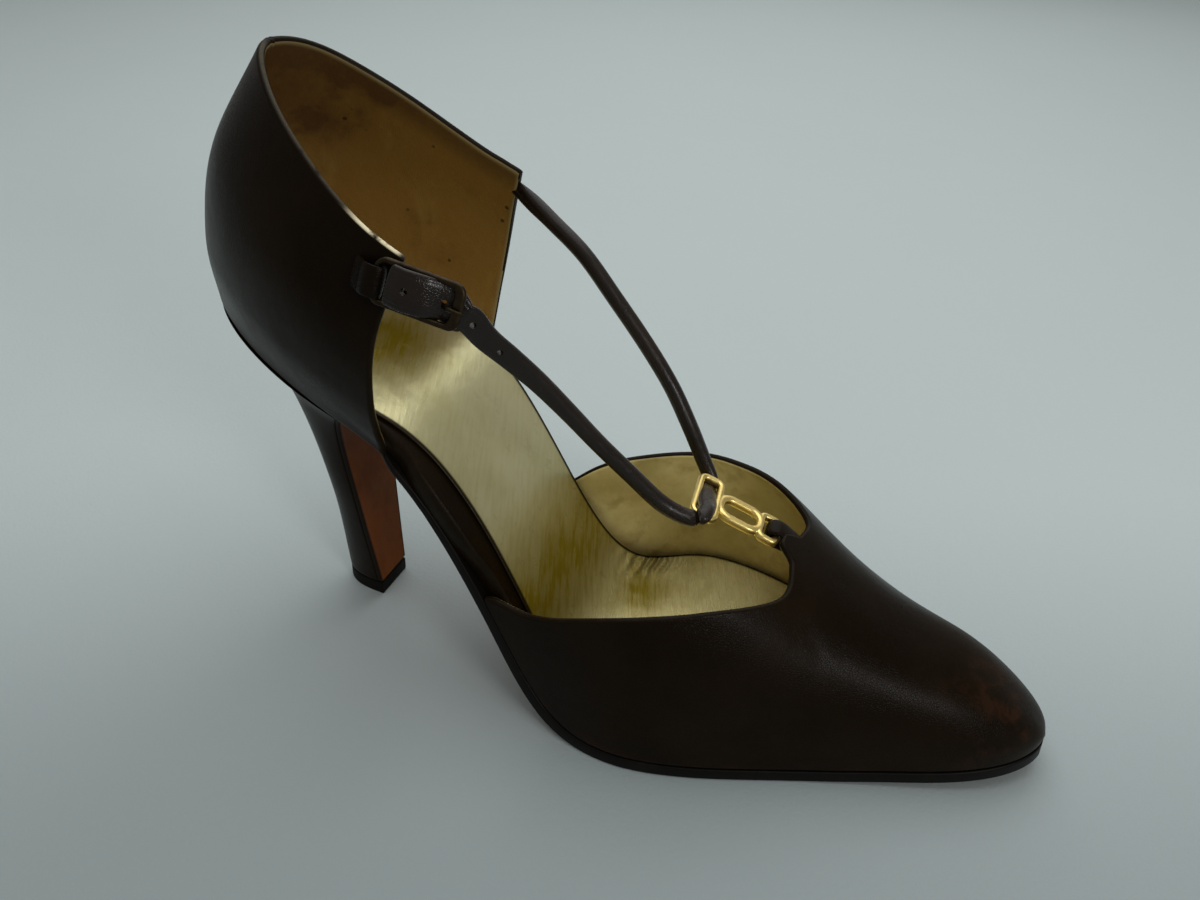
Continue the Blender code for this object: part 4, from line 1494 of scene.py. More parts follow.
@dataclass
class Vamp:
    """Closed toe of the shoe, open at the throat and underneath."""

    last: Last
    back_x: float = 84.2
    throat_x: float = 151.6
    arch_power: float = 2.55
    toe_cap_round: float = 28.5
    toe_cap_power: float = 2.1
    toe_lean: float = 1.8
    fullness: float = 1.5
    fullness_x: float = 144.0
    fullness_reach: float = 16.0
    tongue: float = 3.2
    tongue_wide: float = 33.0
    tongue_edge: tuple[float, float] = (5.5, 1.2)
    thick: float = 1.8
    ripple: float = 0.16
    rows: int = 105
    crowding: float = 0.35
    folds: tuple[Crease, ...] = (
        Crease(0.28, 40.0, 150.0, 2.6, 0.36, 0.07),
        Crease(0.224, 55.0, 151.5, 2.4, 0.31, 0.07),
    )
    ridge: tuple[Ridge, ...] = (
        Ridge(74.0, 104.5),
        Ridge(151.6, 48.3),
        Ridge(176.5, 34.4),
        Ridge(201.5, 25.6),
        Ridge(211.0, 21.9),
        Ridge(221.0, 17.9),
    )
    topline: tuple[Topline, ...] = (
        Topline(0.0, 0.0, 0.0),
        Topline(0.25, 0.36, 0.24),
        Topline(0.5, 0.77, 0.72),
        Topline(0.75, 1.01, 0.99),
        Topline(1.0, 1.0, 1.0),
    )

    def point(self, x: Array, around: Array) -> Array:
        """Point at a section, around from the outer (0) to the inner side (1).

        Args:
            x: places along the last.
            around: places around the section.

        Returns:
            Points in millimetres.
        """
        last, length = self.last, self.last.length
        base = last.upper_base_z(x)
        near = np.stack([x, last.edge_y(x, Side.OUTER), base], -1)
        far = np.stack([x, last.edge_y(x, Side.INNER), base], -1)
        closing = rounded((length - x) / self.toe_cap_round, self.toe_cap_power)
        lean = self.toe_lean * np.clip((x - self.throat_x) / (length - self.throat_x), 0, 1) ** 2
        rise = smooth(np.minimum(x, length), column(self.ridge, "x"), column(self.ridge, "z")) - base
        up = np.stack([lean * closing, 0 * x, rise * closing], -1)
        turn = math.pi * (1 - around)
        across = np.sign(np.cos(turn)) * np.abs(np.cos(turn)) ** (2 / self.arch_power)
        height = np.abs(np.sin(turn)) ** (2 / self.arch_power)
        point = (near + far) / 2 + (far - near) / 2 * across[..., None] + up * height[..., None]
        full = np.clip(np.sin(2 * math.pi * (around - 0.5)), 0, 1) ** 2
        full = self.fullness * full * hill(x, self.fullness_x, self.fullness_reach)
        return point + np.stack([0 * x, 0.5 * full, full], -1)

    def start_x(self, around: Array) -> Array:
        """Where the vamp starts, for a place around the section.

        Args:
            around: places around the section.

        Returns:
            Places along the last.
        """
        rise = 2 * np.minimum(around, 1 - around)
        rises, *sides = (column(self.topline, name) for name in Topline._fields)
        sides = [smooth(rise, rises, side) for side in sides]
        aside = self.tongue_wide * np.abs(np.cos(math.pi * around)) ** (2 / self.arch_power)
        tongue = self.tongue * ease(aside, *self.tongue_edge)
        return self.back_x + (self.throat_x - self.back_x) * np.where(around <= 0.5, *sides) - tongue

    def table(self) -> tuple[Array, Array, Array]:
        """Places along and around, and the points, with fine rows at the topline.

        Returns:
            X, around and points, all rows by columns.
        """
        feather = [0, 0.003, 0.008, 0.015]
        half = np.concatenate([feather, np.linspace(0.025, 0.47, 70), np.linspace(0.473, 0.5, 18)])
        turn = np.concatenate([half, 1 - half[-2::-1]])
        crowd = 1 - self.crowding * np.sin(math.pi * turn) ** 2
        around = 0.5 - 0.5 * np.cos(math.pi * turn) * crowd
        start = self.start_x(around)
        line = self.point(start, around)
        tangent = unit(np.gradient(line, axis=0))
        ahead = (self.point(start + 0.5, around) - line) / 0.5
        square = np.linalg.norm(ahead - tangent * np.sum(ahead * tangent, -1, keepdims=True), axis=-1)
        reach = 1 / np.clip(square, 0.3, 2.0)
        near = start[None] + np.array(ROLL)[:, None] * reach[None]
        share = np.sin(np.linspace(0, 1, self.rows)[1:] * math.pi / 2)[:, None]
        x = np.concatenate([near, near[-1:] + (self.last.length - near[-1:]) * share])
        around = np.broadcast_to(around, x.shape)
        return x, around, self.point(x, around)

    def creases(self, x: Array, around: Array) -> Array:
        """Soft ridges and troughs of the leather, outward in millimetres.

        Args:
            x: places along the last.
            around: places around the section.

        Returns:
            How far each point moves.
        """
        out = self.ripple * np.sin(x / 7.3 + 3.1 * around) * np.sin(9.0 * around + x / 31)
        for fold in self.folds:
            along = hill(x - fold.slant * (0.5 - around), fold.x, fold.reach)
            out = out - fold.depth * along * hill(around, fold.around, fold.spread)
        return out

    def build(self, finishes: Finishes) -> None:
        """Makes and dresses the vamp.

        Args:
            finishes: the materials.
        """
        x, around, points = self.table()
        lift = self.creases(x, around) * ease(around * (1 - around), 0, 0.02)
        moved = points + sheet_normals(points) * lift[..., None]
        top = np.minimum(arc_from_start(points, 0), 30.0)
        top[: len(ROLL)] = np.array(ROLL)[:, None]
        feather = np.minimum(arc_from_start(points, 1), arc_from_end(points, 1))
        edge = np.minimum(top, feather)
        scuff = ease(x, 186.0, 210.0) * (0.55 + 0.45 * ease(np.abs(around - 0.45), 0.5, 0.0))
        scuff = np.maximum(scuff, 0.35 * ease(feather, 5.0, 0.5))
        # Painted shade on the lining: darker along its foot beside the sock and towards the toe box
        stain_and_shade = ease(feather, 9.0, 1.0) + 0.9 * ease(x, 132.0, 160.0)
        stain_and_shade = np.clip(stain_and_shade, 0, 1)
        made = Wall(moved, edge, self.thick).build("vamp_leather", scuff=scuff, stain_and_shade=stain_and_shade)
        Shop.finish(made, ["vamp"], Slot.BROWN, finishes.calf, finishes.khaki, angle=60)


@dataclass
class Quarter:
    """Heel cup of the shoe, open at the collar and underneath."""

    last: Last
    rise_back: float = 60.4
    rise_front: float = 51.9
    rise_sag: float = 1.0
    back_dip: float = 0.9
    top_power: float = 1.78
    thick: float = 1.8
    seam_depth: float = 0.3
    seam_ridge: float = 0.12
    ripple: float = 0.14
    corner_ripple: float = 0.1
    half_round: float = 75.0
    height: float = 55.0
    levels: tuple[Level, ...] = (
        Level(0.0, 0.0, 58.5, 27.6),
        Level(0.3, 0.0, 59.7, 32.5),
        Level(0.65, 6.4, 62.9, 33.8),
        Level(1.0, 20.6, 68.6, 28.4),
    )
    dips: tuple[Dip, ...] = (
        Dip(0.0, 0.2),
        Dip(0.3, 0.35),
        Dip(0.5, 1.05),
        Dip(0.6, 1.6),
        Dip(0.7, 2.25),
        Dip(0.8, 2.7),
        Dip(0.86, 2.75),
        Dip(0.9, 2.45),
        Dip(0.95, 1.65),
        Dip(1.0, 0.0),
    )

    def point(self, around: Array, share: Array) -> Array:
        """Point around from the outer (-1) to the inner (1) front edge, at a share of the height.

        Args:
            around: places around the heel.
            share: shares of the height.

        Returns:
            Points in millimetres.
        """
        last = self.last
        shares = column(self.levels, "share")
        back, front, half = (smooth(share, shares, column(self.levels, n)) for n in Level._fields[1:])
        power = last.seat_power + (self.top_power - last.seat_power) * share
        angle = np.abs(around) * math.pi / 2
        bend = 1 - np.cos(angle) ** (2 / power)
        rise = self.rise_front - self.rise_back
        rise = self.rise_back + rise * (bend + self.rise_sag * bend * (1 - bend))
        rise = rise - self.back_dip * hill(around, 0.0, 0.2)
        rise = rise - smooth(np.abs(around), column(self.dips, "around"), column(self.dips, "drop"))
        seat = last.seat_round * (1 - np.cos(angle) ** (2 / last.seat_power))
        x = back + (front - back) * bend
        y = np.sign(around) * half * np.sin(angle) ** (2 / power)
        return np.stack([x, y, last.upper_base_z(seat) + share * rise], -1)

    def table(self) -> tuple[Array, Array, Array]:
        """Places around and up, and the points, with fine rows at the free edges.

        Returns:
            Around, share and points, all rows by columns.
        """
        seam = (0.0, 0.003, 0.006, 0.01, 0.016, 0.026)
        half = spread(1.0, seam, np.array(ROLL) / self.half_round, 62)
        around = np.concatenate([-half[:0:-1], half])
        share = spread(1.0, np.array(ROLL) / self.height, np.array(ROLL) / self.height, 60)
        share, around = np.meshgrid(share, around, indexing="ij")
        return around, share, self.point(around, share)

    def creases(self, around: Array, share: Array) -> Array:
        """Soft ridges and troughs of the leather, outward in millimetres.

        Args:
            around: places around the heel.
            share: shares of the height.

        Returns:
            How far each point moves.
        """
        out = self.ripple * np.sin(11 * around + 4 * share) * np.sin(7 * share + 5 * around)
        out = out - self.seam_depth * hill(around, 0.0, 0.008) * ease(share, 0.0, 0.1)
        out = out + self.seam_ridge * hill(np.abs(around), 0.02, 0.015)
        corner = ease(np.abs(around), 0.8, 1.0) * ease(share, 0.22, 0.02)
        return out + self.corner_ripple * corner * np.sin(38 * share + 9 * np.abs(around))

    def build(self, finishes: Finishes) -> None:
        """Makes and dresses the quarter.

        Args:
            finishes: the materials.
        """
        around, share, points = self.table()
        moved = points + sheet_normals(points) * self.creases(around, share)[..., None]
        top, low = arc_from_end(points, 0), arc_from_start(points, 0)
        front = np.minimum(arc_from_start(points, 1), arc_from_end(points, 1))
        edge = np.minimum(np.minimum(top, low), front)
        scuff = 0.4 * ease(low, 7.0, 1.0) * ease(np.abs(around), 0.9, 0.2)
        # Darker lining: stains at the back and along the top, and painted shade along the bottom beside
        # the footbed
        stain_and_shade = 0.9 * hill(around, 0.12, 0.42) * ease(share, 0.15, 0.8) + 0.65 * ease(top, 9.0, 2.0)
        stain_and_shade = np.clip(stain_and_shade + 0.3 * ease(low, 8.0, 0.0), 0, 1)
        # Painted highlight: a bright glint on the rim of the outer topline near its front corner. A
        # faint light line along the rest of the outer topline is the lining's edge.
        glint = ease(around, -0.76, -0.84) * ease(around, -0.99, -0.96) * ease(top, 0.55, 0.25)
        glint = np.maximum(glint, 0.045 * ease(around, -0.05, -0.12) * ease(top, 0.25, 0.08))
        wall = Wall(moved, edge, self.thick)
        made = wall.build("quarter_leather", scuff=scuff, stain_and_shade=stain_and_shade, glint=glint)
        Shop.finish(made, ["quarter"], Slot.BROWN, finishes.calf, finishes.tan, angle=60)


# Bottom of the shoe


class Inset(NamedTuple):
    """Distance inward from the feather outline, outer and inner side."""

    x: float
    outer: float
    inner: float


@dataclass
class Footbed:
    """Insole board covered in brown leather, with the gold sock on top."""

    last: Last
    thick: float = 4.5
    board: tuple[Inset, ...] = (
        Inset(-10.0, 2.5, 2.5),
        Inset(59.5, 2.5, 2.5),
        Inset(66.0, 0.5, 0.5),
        Inset(76.0, 0.5, 0.5),
        Inset(82.5, 2.5, 2.5),
        Inset(190.0, 2.7, 2.7),
        Inset(219.0, 3.6, 3.6),
    )
    sock: tuple[Inset, ...] = (
        Inset(-10.0, 3.0, 3.0),
        Inset(46.0, 3.2, 3.0),
        Inset(58.0, 5.6, 2.4),
        Inset(66.0, 6.6, 1.6),
        Inset(78.0, 6.8, 1.6),
        Inset(92.0, 6.0, 2.7),
        Inset(110.0, 4.0, 2.8),
        Inset(190.0, 3.4, 3.2),
        Inset(219.0, 4.4, 4.4),
    )
    sock_thick: float = 0.72
    sock_gap: float = 0.1
    sock_round: float = 0.3
    sock_lift: float = 0.5
    board_gap: float = 0.06
    board_round: float = 1.3
    board_under: float = 0.15
    end_gap: float = 0.4

    def sides(self, table: Sequence[Inset], count: int) -> list[Array]:
        """Both edges of a sheet from its table of insets.

        Args:
            table: its insets along the last.
            count: points in each edge.

        Returns:
            Outer and inner edge.
        """
        end = self.last.length - self.end_gap
        lines = []
        for side in Side:
            inset = partial(smooth, xs=column(table, "x"), ys=column(table, side.name.lower()))
            lines.append(self.last.edge_line(side, self.end_gap, end, count, inset))
        return lines

    def top(self) -> float:
        """Height of the board's top over the bottom of the last."""
        return self.last.clearance + self.thick

    def sock_top(self, x: Array, rim: Array) -> Array:
        """Height of the sock's top, which is dished at the seat and under the ball."""
        dish = ease(rim, 16.0, 2.0) * (hill(x, 25.0, 26.0) + hill(x, 135.0, 30.0))
        return self.top() + self.sock_gap + self.sock_thick + self.sock_lift * dish

    def build(self, finishes: Finishes) -> None:
        """Makes and dresses the board and the sock.

        Args:
            finishes: the materials.
        """
        last = self.last
        board = Plate(
            last,
            *self.sides(self.board, 170),
            low=lambda x: self.board_gap + 0 * x,
            high=lambda x, rim: self.top() + 0 * x,
            radius=self.board_round,
            across=24,
            under=self.board_under,
        )
        made = board.build("insole_cover", scuff=lambda x, y, rim: 0.25 * ease(rim, 2.5, 0.3))
        Shop.finish(made, ["insole"], Slot.GOLD, finishes.calf, angle=50)

        sock = Plate(
            last,
            *self.sides(self.sock, 260),
            low=lambda x: self.top() + self.sock_gap + 0 * x,
            high=self.sock_top,
            radius=self.sock_round,
            across=90,
        )
        made = sock.build("gold_sock", worn=self.worn, pleat=self.pleat)
        Shop.finish(made, [], Slot.GOLD, finishes.gold, angle=50)

    @staticmethod
    def worn(x: Array, y: Array, rim: Array) -> Array:
        """Where the foil is rubbed: bend, under the heel, toes, rim; and painted shade on the seat.

        Args:
            x: places along the last.
            y: places across it.
            rim: distances from the edge.

        Returns:
            Wear, with the painted shade, from 0 to 1.
        """
        bend = hill(x, 89.5, 7.5) + 0.75 * hill(x, 107.5, 9.0) * hill(y, 12.5, 9.0)
        heel = 0.5 * hill(x, 28.0, 16.0) * hill(y, 0.0, 14.0)
        # Painted shade: the seat, where the quarter shades the sock, darkened like rubbed foil
        seat = 0.95 * hill(x, 43.5, 9.5) * hill(y, 1.0, 15.0)
        toes = 0.5 * ease(x, 134, 150)
        return np.clip(bend + heel + seat + toes + 0.15 * ease(rim, 4.0, 0.5), 0, 1)

    @staticmethod
    def pleat(x: Array, y: Array, rim: Array) -> Array:
        """Where the foil is pleated: at the bend, along the inner edge."""
        return hill(x, 108.0, 8.0) * ease(rim, 13.0, 2.0) * ease(y, 5.0, 15.0)


@dataclass
class Outsole:
    """Thin sole from the heel breast to the toe."""

    last: Last
    front: float = 3.4
    waist: float = 2.2
    margin: float = 0.15
    back_x: float = 49.3
    back_thin: float = 0.55
    tuck: float = 4.0
    edge_round: float = 0.55
    toe_gap: float = 0.02

    def thick(self, x: Array) -> Array:
        """Thickness along the last."""
        behind = self.waist * (self.back_thin + (1 - self.back_thin) * ease(x, 52, 74))
        return behind + (self.front - self.waist) * np.clip((x - 70) / 34, 0, 1)

    def build(self, finishes: Finishes) -> None:
        """Makes and dresses the outsole.

        Args:
            finishes: the materials.
        """
        last = self.last

        def inset(x: Array) -> Array:
            """Distance inward: tucked under the quarter, a little proud of the upper in front."""
            return self.tuck * ease(x, 62, 52) - self.margin * np.clip((x - 70) / 40, 0, 1)

        end = last.length - self.toe_gap
        sole = Plate(
            last,
            *(last.edge_line(side, self.back_x, end, 190, inset) for side in Side),
            low=lambda x: -self.thick(x),
            high=lambda x, rim: 0 * x,
            radius=self.edge_round,
        )
        made = sole.build("outsole_leather", (0, 0, 1), worn=self.worn)
        Shop.finish(made, ["outsole"], Slot.SOLE, finishes.black_edge, finishes.russet, angle=50)

    @staticmethod
    def worn(x: Array, y: Array, rim: Array) -> Array:
        """Where the tread is worn: under the ball and a little at the toe."""
        return np.clip(hill(x, 142.0, 30.0) * ease(rim, 1.0, 9.0) + 0.5 * hill(x, 208.0, 12.0), 0, 1)


@dataclass
class Heel:
    """Covered heel block, its breast flap and its top piece."""

    last: Last
    power: float = 2.1
    top_piece: float = 4.0
    breast: float = 1.2
    breast_gap: float = 0.05
    breast_trim: float = 0.04
    cover_bevel: float = 0.45
    breast_bevel: float = 0.3
    tread_bevel: float = 0.35
    tread_wear: float = 0.35
    levels: tuple[Level, ...] = (
        Level(0.0, 0.6, 48.4, 26.8),
        Level(0.07, 4.8, 43.2, 20.3),
        Level(0.25, 14.6, 33.8, 11.6),
        Level(0.6, 23.3, 35.4, 9.2),
        Level(1.0, 25.6, 38.0, 6.4),
    )

    def ring(self, share: float, sides: int = 56) -> Array:
        """D-shaped section at a share of the height: round back, flat breast.

        Args:
            share: share of the height, from the top.
            sides: points in the ring.

        Returns:
            Points of the ring.
        """
        shares = column(self.levels, "share")
        sizes = (smooth(share, shares, column(self.levels, name)) for name in Level._fields[1:])
        back, front, half = (float(size) for size in sizes)
        around = np.linspace(-1, 1, sides)
        angle = np.abs(around) * math.pi / 2
        x = back + (front - back) * (1 - np.cos(angle) ** (2 / self.power))
        y = np.sign(around) * half * np.sin(angle) ** (2 / self.power)
        top, low = self.last.bottom_z(x), self.top_piece + self.last.clearance
        return np.stack([x, y, top + (low - top) * share], -1)

    @staticmethod
    def loft(name: str, rings: list[Array], **marks: Array) -> Object:
        """Closed body through rings, with flat ends.

        Args:
            name: name of the piece.
            rings: its sections, from the top.
            marks: values at each ring or each point, kept on the mesh.

        Returns:
            A closed mesh.
        """
        rings = [np.concatenate([ring, ring[:1]]) for ring in rings]
        ends = [np.broadcast_to(rings[i].mean(0), rings[i].shape) for i in (0, -1)]
        for mark, values in marks.items():
            one_each = values.ndim == 1
            table = values[:, None] if one_each else np.concatenate([values, values[:, :1]], 1)
            marks[mark] = np.concatenate([table[:1], table, table[-1:]])
        return Workbench.close(Workbench.grid(name, np.array([ends[0], *rings, ends[1]]), **marks))

    def build(self, finishes: Finishes) -> None:
        """Makes and dresses the heel.

        Args:
            finishes: the materials.
        """
        shares = np.concatenate([np.linspace(0, 0.25, 26)[:-1], np.linspace(0.25, 1, 44)])
        scuff = 0.25 * ease(shares, 0.8, 1.0) + 0.1
        edge = 0.6 + 30 * (1 - np.maximum(ease(shares, 0.985, 1.0), ease(shares, 0.01, 0.0)))
        block = self.loft("heel_cover", [self.ring(s) for s in shares], scuff=scuff, edge=edge)
        Workbench.bevel(block, self.cover_bevel)
        Shop.finish(block, ["heel_block"], Slot.BROWN, finishes.calf, angle=35)
        self.build_breast(finishes)
        self.build_top_piece(finishes)

    def build_breast(self, finishes: Finishes) -> None:
        """Makes and dresses the flap on the front of the heel.

        Args:
            finishes: the materials.
        """
        rings, sides, trim = [], [], self.breast_trim
        shares = np.concatenate([np.linspace(0.018, 0.25, 22)[:-1], np.linspace(0.25, 0.995, 40)])
        for share in shares:
            near, far = self.ring(share)[[0, -1]]
            above, below = self.ring(share - 0.005)[0], self.ring(share + 0.005)[0]
            lean = math.hypot(above[0] - below[0], above[2] - below[2]) / (above[2] - below[2])
            inner = near[0] + self.breast_gap * lean
            outer = inner + self.breast
            share_y = (1 - np.cos(np.linspace(0, math.pi, 20))) / 2
            y = near[1] + trim + (far[1] - near[1] - 2 * trim) * share_y
            back = np.stack([inner + 0 * y, y, near[2] + 0 * y], -1)
            face = np.stack([outer + 0 * y, y, near[2] + 0 * y], -1)
            rings.append(np.concatenate([back, face[::-1]]))
            aside = np.minimum(y - y[0], y[-1] - y)
            sides.append(np.concatenate([0 * aside, aside[::-1]]))
        made = self.loft("heel_breast_flap", rings, worn=0.05 + 0 * shares, edge=np.array(sides))
        Workbench.bevel(made, self.breast_bevel)
        Shop.finish(made, ["heel_breast"], Slot.RUSSET, finishes.russet, angle=35)

    def build_top_piece(self, finishes: Finishes) -> None:
        """Makes and dresses the tread of the heel, worn a little at its back.

        Args:
            finishes: the materials.
        """
        base = self.ring(1.0)
        base[:, 0] += (self.breast + 0.1) * ease(base[:, 0], 30.0, 38.0)
        rings = []
        for z in (self.top_piece, 2.6, 1.3, 0.0):
            wear = self.tread_wear * hill(base[:, 0], base[:, 0].min(), 3.0) * (z == 0.0)
            rings.append(np.stack([base[:, 0], base[:, 1], z + wear], -1))
        made = self.loft("heel_tread", rings)
        Workbench.bevel(made, self.tread_bevel, 40.0)
        Shop.finish(made, ["heel_top_piece"], Slot.RUBBER, finishes.rubber, angle=35)


# Strap, link and buckle

# How square a section is: two is round
BAR_SQUARE = 2.6
BAND_SQUARE = 3.0
BAND_SCUFF = 0.1


class Stop(NamedTuple):
    """Strap at one place: centre, width, thickness, squareness, and the direction of its width."""

    x: float
    y: float
    z: float
    wide: float
    thick: float
    square: float
    wx: float
    wy: float
    wz: float


class Bend(NamedTuple):
    """Place on a folded band: along its plane, and out of it."""

    along: float
    out: float


@dataclass(frozen=True)
class Plane:
    """Flat place with its own directions."""

    place: Triple
    along: Triple
    other: Triple
    outward: int = 1

    def axes(self) -> tuple[Array, Array, Array]:
        """Unit directions along, across and out.

        Returns:
            Three unit vectors.
        """
        first = unit(np.array(self.along))
        second = np.array(self.other)
        second = unit(second - first * (second @ first))
        return first, second, self.outward * np.cross(first, second)

    def at(self, u: Array, v: Array, out: Array) -> Array:
        """Points at distances along, across and out.

        Args:
            u: distances along.
            v: distances across.
            out: distances out.

        Returns:
            Points in millimetres.
        """
        first, second, third = self.axes()
        u, v, out = np.broadcast_arrays(*(np.asarray(a, float) for a in (u, v, out)))
        steps = u[..., None] * first + v[..., None] * second + out[..., None] * third
        return np.array(self.place) + steps


def box_loop(
    u0: float, u1: float, v0: float, v1: float, radius: float, steps: int = 8, count: int = 120
) -> Array:
    """Rounded rectangle as a loop of evenly placed points.

    Args:
        u0: least place along.
        u1: greatest place along.
        v0: least place across.
        v1: greatest place across.
        radius: corner radius.
        steps: points in each corner.
        count: points in the whole loop.

    Returns:
        Points as U and V.
    """
    loop = []
    corners = ((u1, v1, -1, -1, 0), (u0, v1, 1, -1, 90), (u0, v0, 1, 1, 180), (u1, v0, -1, 1, 270))
    for u, v, du, dv, start in corners:
        for k in range(steps + 1):
            angle = math.radians(start + 90 * k / steps)
            along, across = du + math.cos(angle), dv + math.sin(angle)
            loop.append((u + radius * along, v + radius * across))
    loop = np.array(loop + loop[:1])
    far = arc_from_start(loop, 0)
    even = np.linspace(0, far[-1], count + 1)[:-1]
    return np.stack([np.interp(even, far, loop[:, i]) for i in (0, 1)], -1)


def bar(name: str, plane: Plane, line: Array, wide: Array | float, thick: float, closed: bool) -> Object:
    """Metal bar along a line in a plane.

    Args:
        name: name of the bar.
        plane: the plane it lies in.
        line: points as U and V.
        wide: width in the plane.
        thick: thickness out of the plane.
        closed: whether the line is a loop.

    Returns:
        The bar's mesh.
    """
    path = plane.at(line[:, 0], line[:, 1], 0.0)
    count = len(path)
    out = np.broadcast_to(plane.axes()[2], path.shape)
    full = np.ones(count)
    square = BAR_SQUARE * full
    return Sweep(path, out, thick * full, np.asarray(wide) * full, square, 20, closed).build(name)


def folded_band(name: str, plane: Plane, bends: Sequence[Bend], wide: float, thick: float) -> Object:
    """Leather band folded along a path.

    Args:
        name: name of the piece.
        plane: the plane of the path's middle.
        bends: places along the path.
        wide: width of the band.
        thick: thickness of the band.

    Returns:
        The band's mesh.
    """
    line = curves(bends, (len(bends) - 1) * 10 + 1)
    path = plane.at(line["along"], 0.0, line["out"])
    full = np.ones(len(path))
    across = np.broadcast_to(plane.axes()[1], path.shape)
    band = Sweep(path, across, wide * full, thick * full, BAND_SQUARE * full, 48)
    return band.build(name, scuff=BAND_SCUFF * full, edge=FAR_FROM_EDGE * full)


LINK = Plane((128.5, 4.5, 55.6), (0.92, 0.12, -0.37), (-0.13, 0.99, 0.0))
BUCKLE = Plane((73.8, -33.3, 114.95), (0.986, 0.036, -0.166), (0.0, 0.33, 0.94))


@dataclass
class Link:
    """Gilt link between the strap and the vamp, with the tab that holds it."""

    slot: tuple[float, float] = (7.4, 16.6)
    slot_bar: float = 1.8
    slot_round: float = 1.5
    neck: Triple = (3.5, 14.6, 3.65)
    neck_bar: float = 2.2
    neck_round: float = 3.2
    horn: Triple = (14.6, 19.05, 4.15)
    horn_bar: float = 1.8
    horn_round: float = 1.2
    thick: float = 2.2
    voxel: float = 0.16
    smoothing: int = 6
    tab_wide: float = 5.4
    tab_thick: float = 1.3
    tab: tuple[Bend, ...] = (
        Bend(27.5, -1.65),
        Bend(24.5, -1.7),
        Bend(21.4, -1.8),
        Bend(18.9, -1.95),
        Bend(17.35, -1.3),
        Bend(16.9, 0.0),
        Bend(17.35, 1.35),
        Bend(18.8, 1.95),
        Bend(20.6, 1.75),
        Bend(22.6, 1.2),
        Bend(24.6, 0.6),
    )

    def build(self, finishes: Finishes) -> None:
        """Makes and dresses the link and its tab.

        Args:
            finishes: the materials.
        """
        half_u, half_v = ((size - self.slot_bar) / 2 for size in self.slot)
        loops = [
            (box_loop(-half_u, half_u, -half_v, half_v, self.slot_round), self.slot_bar),
            (box_loop(*self.neck[:2], -self.neck[2], self.neck[2], self.neck_round), self.neck_bar),
            (box_loop(*self.horn[:2], -self.horn[2], self.horn[2], self.horn_round), self.horn_bar),
        ]
        bars = []
        for number, (line, wide) in enumerate(loops):
            bars.append(bar(f"link_bar_{number}", LINK, line, wide, self.thick, True))
        made = Workbench.join("gilt_link", bars)
        Workbench.melt(made, self.voxel, self.smoothing)
        Shop.finish(made, ["vamp_link"], Slot.BRASS, finishes.gilt)
        made = folded_band("link_tab", LINK, self.tab, self.tab_wide, self.tab_thick)
        # The tab wears the calf copy painted darker as shade
        Shop.finish(made, ["vamp_tab"], Slot.BROWN, finishes.dark_calf, angle=60)


@dataclass
class Buckle:
    """Dark brass buckle: frame with its hinge bar, prong, and the leather loop that holds it."""

    length: float = 20.2
    low: float = -4.5
    high: float = 5.5
    bar: float = 1.3
    front_bar: float = 2.4
    corner: float = 2.0
    hinge: float = -3.6
    hinge_bar: float = 1.4
    thick: float = 1.5
    voxel: float = 0.15
    smoothing: int = 5
    prong_radius: float = 0.55
    prong_taper: float = 0.35
    loop_wide: float = 6.6
    loop_thick: float = 0.9
    prong: tuple[Bend, ...] = (
        Bend(-2.3, 0.0),
        Bend(0.4, -0.75),
        Bend(3.0, -1.45),
        Bend(4.6, -1.35),
        Bend(6.1, -0.05),
        Bend(7.5, 1.25),
        Bend(9.0, 1.65),
        Bend(10.3, 1.4),
    )
    loop: tuple[Bend, ...] = (
        Bend(-15.4, -2.85),
        Bend(-13.4, -0.95),
        Bend(-11.8, 0.8),
        Bend(-10.2, 1.5),
        Bend(-8.7, 1.35),
        Bend(-7.85, 0.4),
        Bend(-7.9, -0.7),
        Bend(-8.7, -1.4),
    )

    def build(self, finishes: Finishes) -> None:
        """Makes and dresses the buckle.

        Args:
            finishes: the materials.
        """
        half_u, thin = self.length / 2, self.bar / 2
        front = half_u - self.front_bar / 2
        line = box_loop(-half_u + thin, front, self.low + thin, self.high - thin, self.corner)
        wide = self.bar + (self.front_bar - self.bar) * ease(line[:, 0], half_u - 3.2, half_u - 1.4)
        frame = bar("frame_bars", BUCKLE, line, wide, self.thick, True)
        across = np.linspace(self.low + thin, self.high - thin, 30)
        hinge = np.stack([self.hinge + 0 * across, across], -1)
        rod = bar("hinge_bar", BUCKLE, hinge, self.hinge_bar, self.hinge_bar, False)
        made = Workbench.join("buckle_bars", [frame, rod])
        Workbench.melt(made, self.voxel, self.smoothing)
        Shop.finish(made, ["buckle_frame"], Slot.DARK_BRASS, finishes.bronze)
        self.build_prong(finishes)
        made = folded_band("buckle_keeper_loop", BUCKLE, self.loop, self.loop_wide, self.loop_thick)
        # The loop wears the calf copy painted darker as shade
        Shop.finish(made, ["buckle_loop"], Slot.BROWN, finishes.dark_calf, angle=60)

    def build_prong(self, finishes: Finishes) -> None:
        """Makes and dresses the prong, blunt at its tip.

        Args:
            finishes: the materials.
        """
        line = curves(self.prong, 51)
        path = BUCKLE.at(line["along"], 0.0, line["out"])
        full = np.ones(len(path))
        taper = self.prong_taper * ease(line["along"], 7.5, self.prong[-1].along)
        size = 2 * self.prong_radius * (1 - taper)
        across = np.broadcast_to(BUCKLE.axes()[1], path.shape)
        made = Sweep(path, across, size, size, 2.0 * full, 24).build("buckle_pin")
        Shop.finish(made, ["buckle_prong"], Slot.DARK_BRASS, finishes.bronze, angle=60)


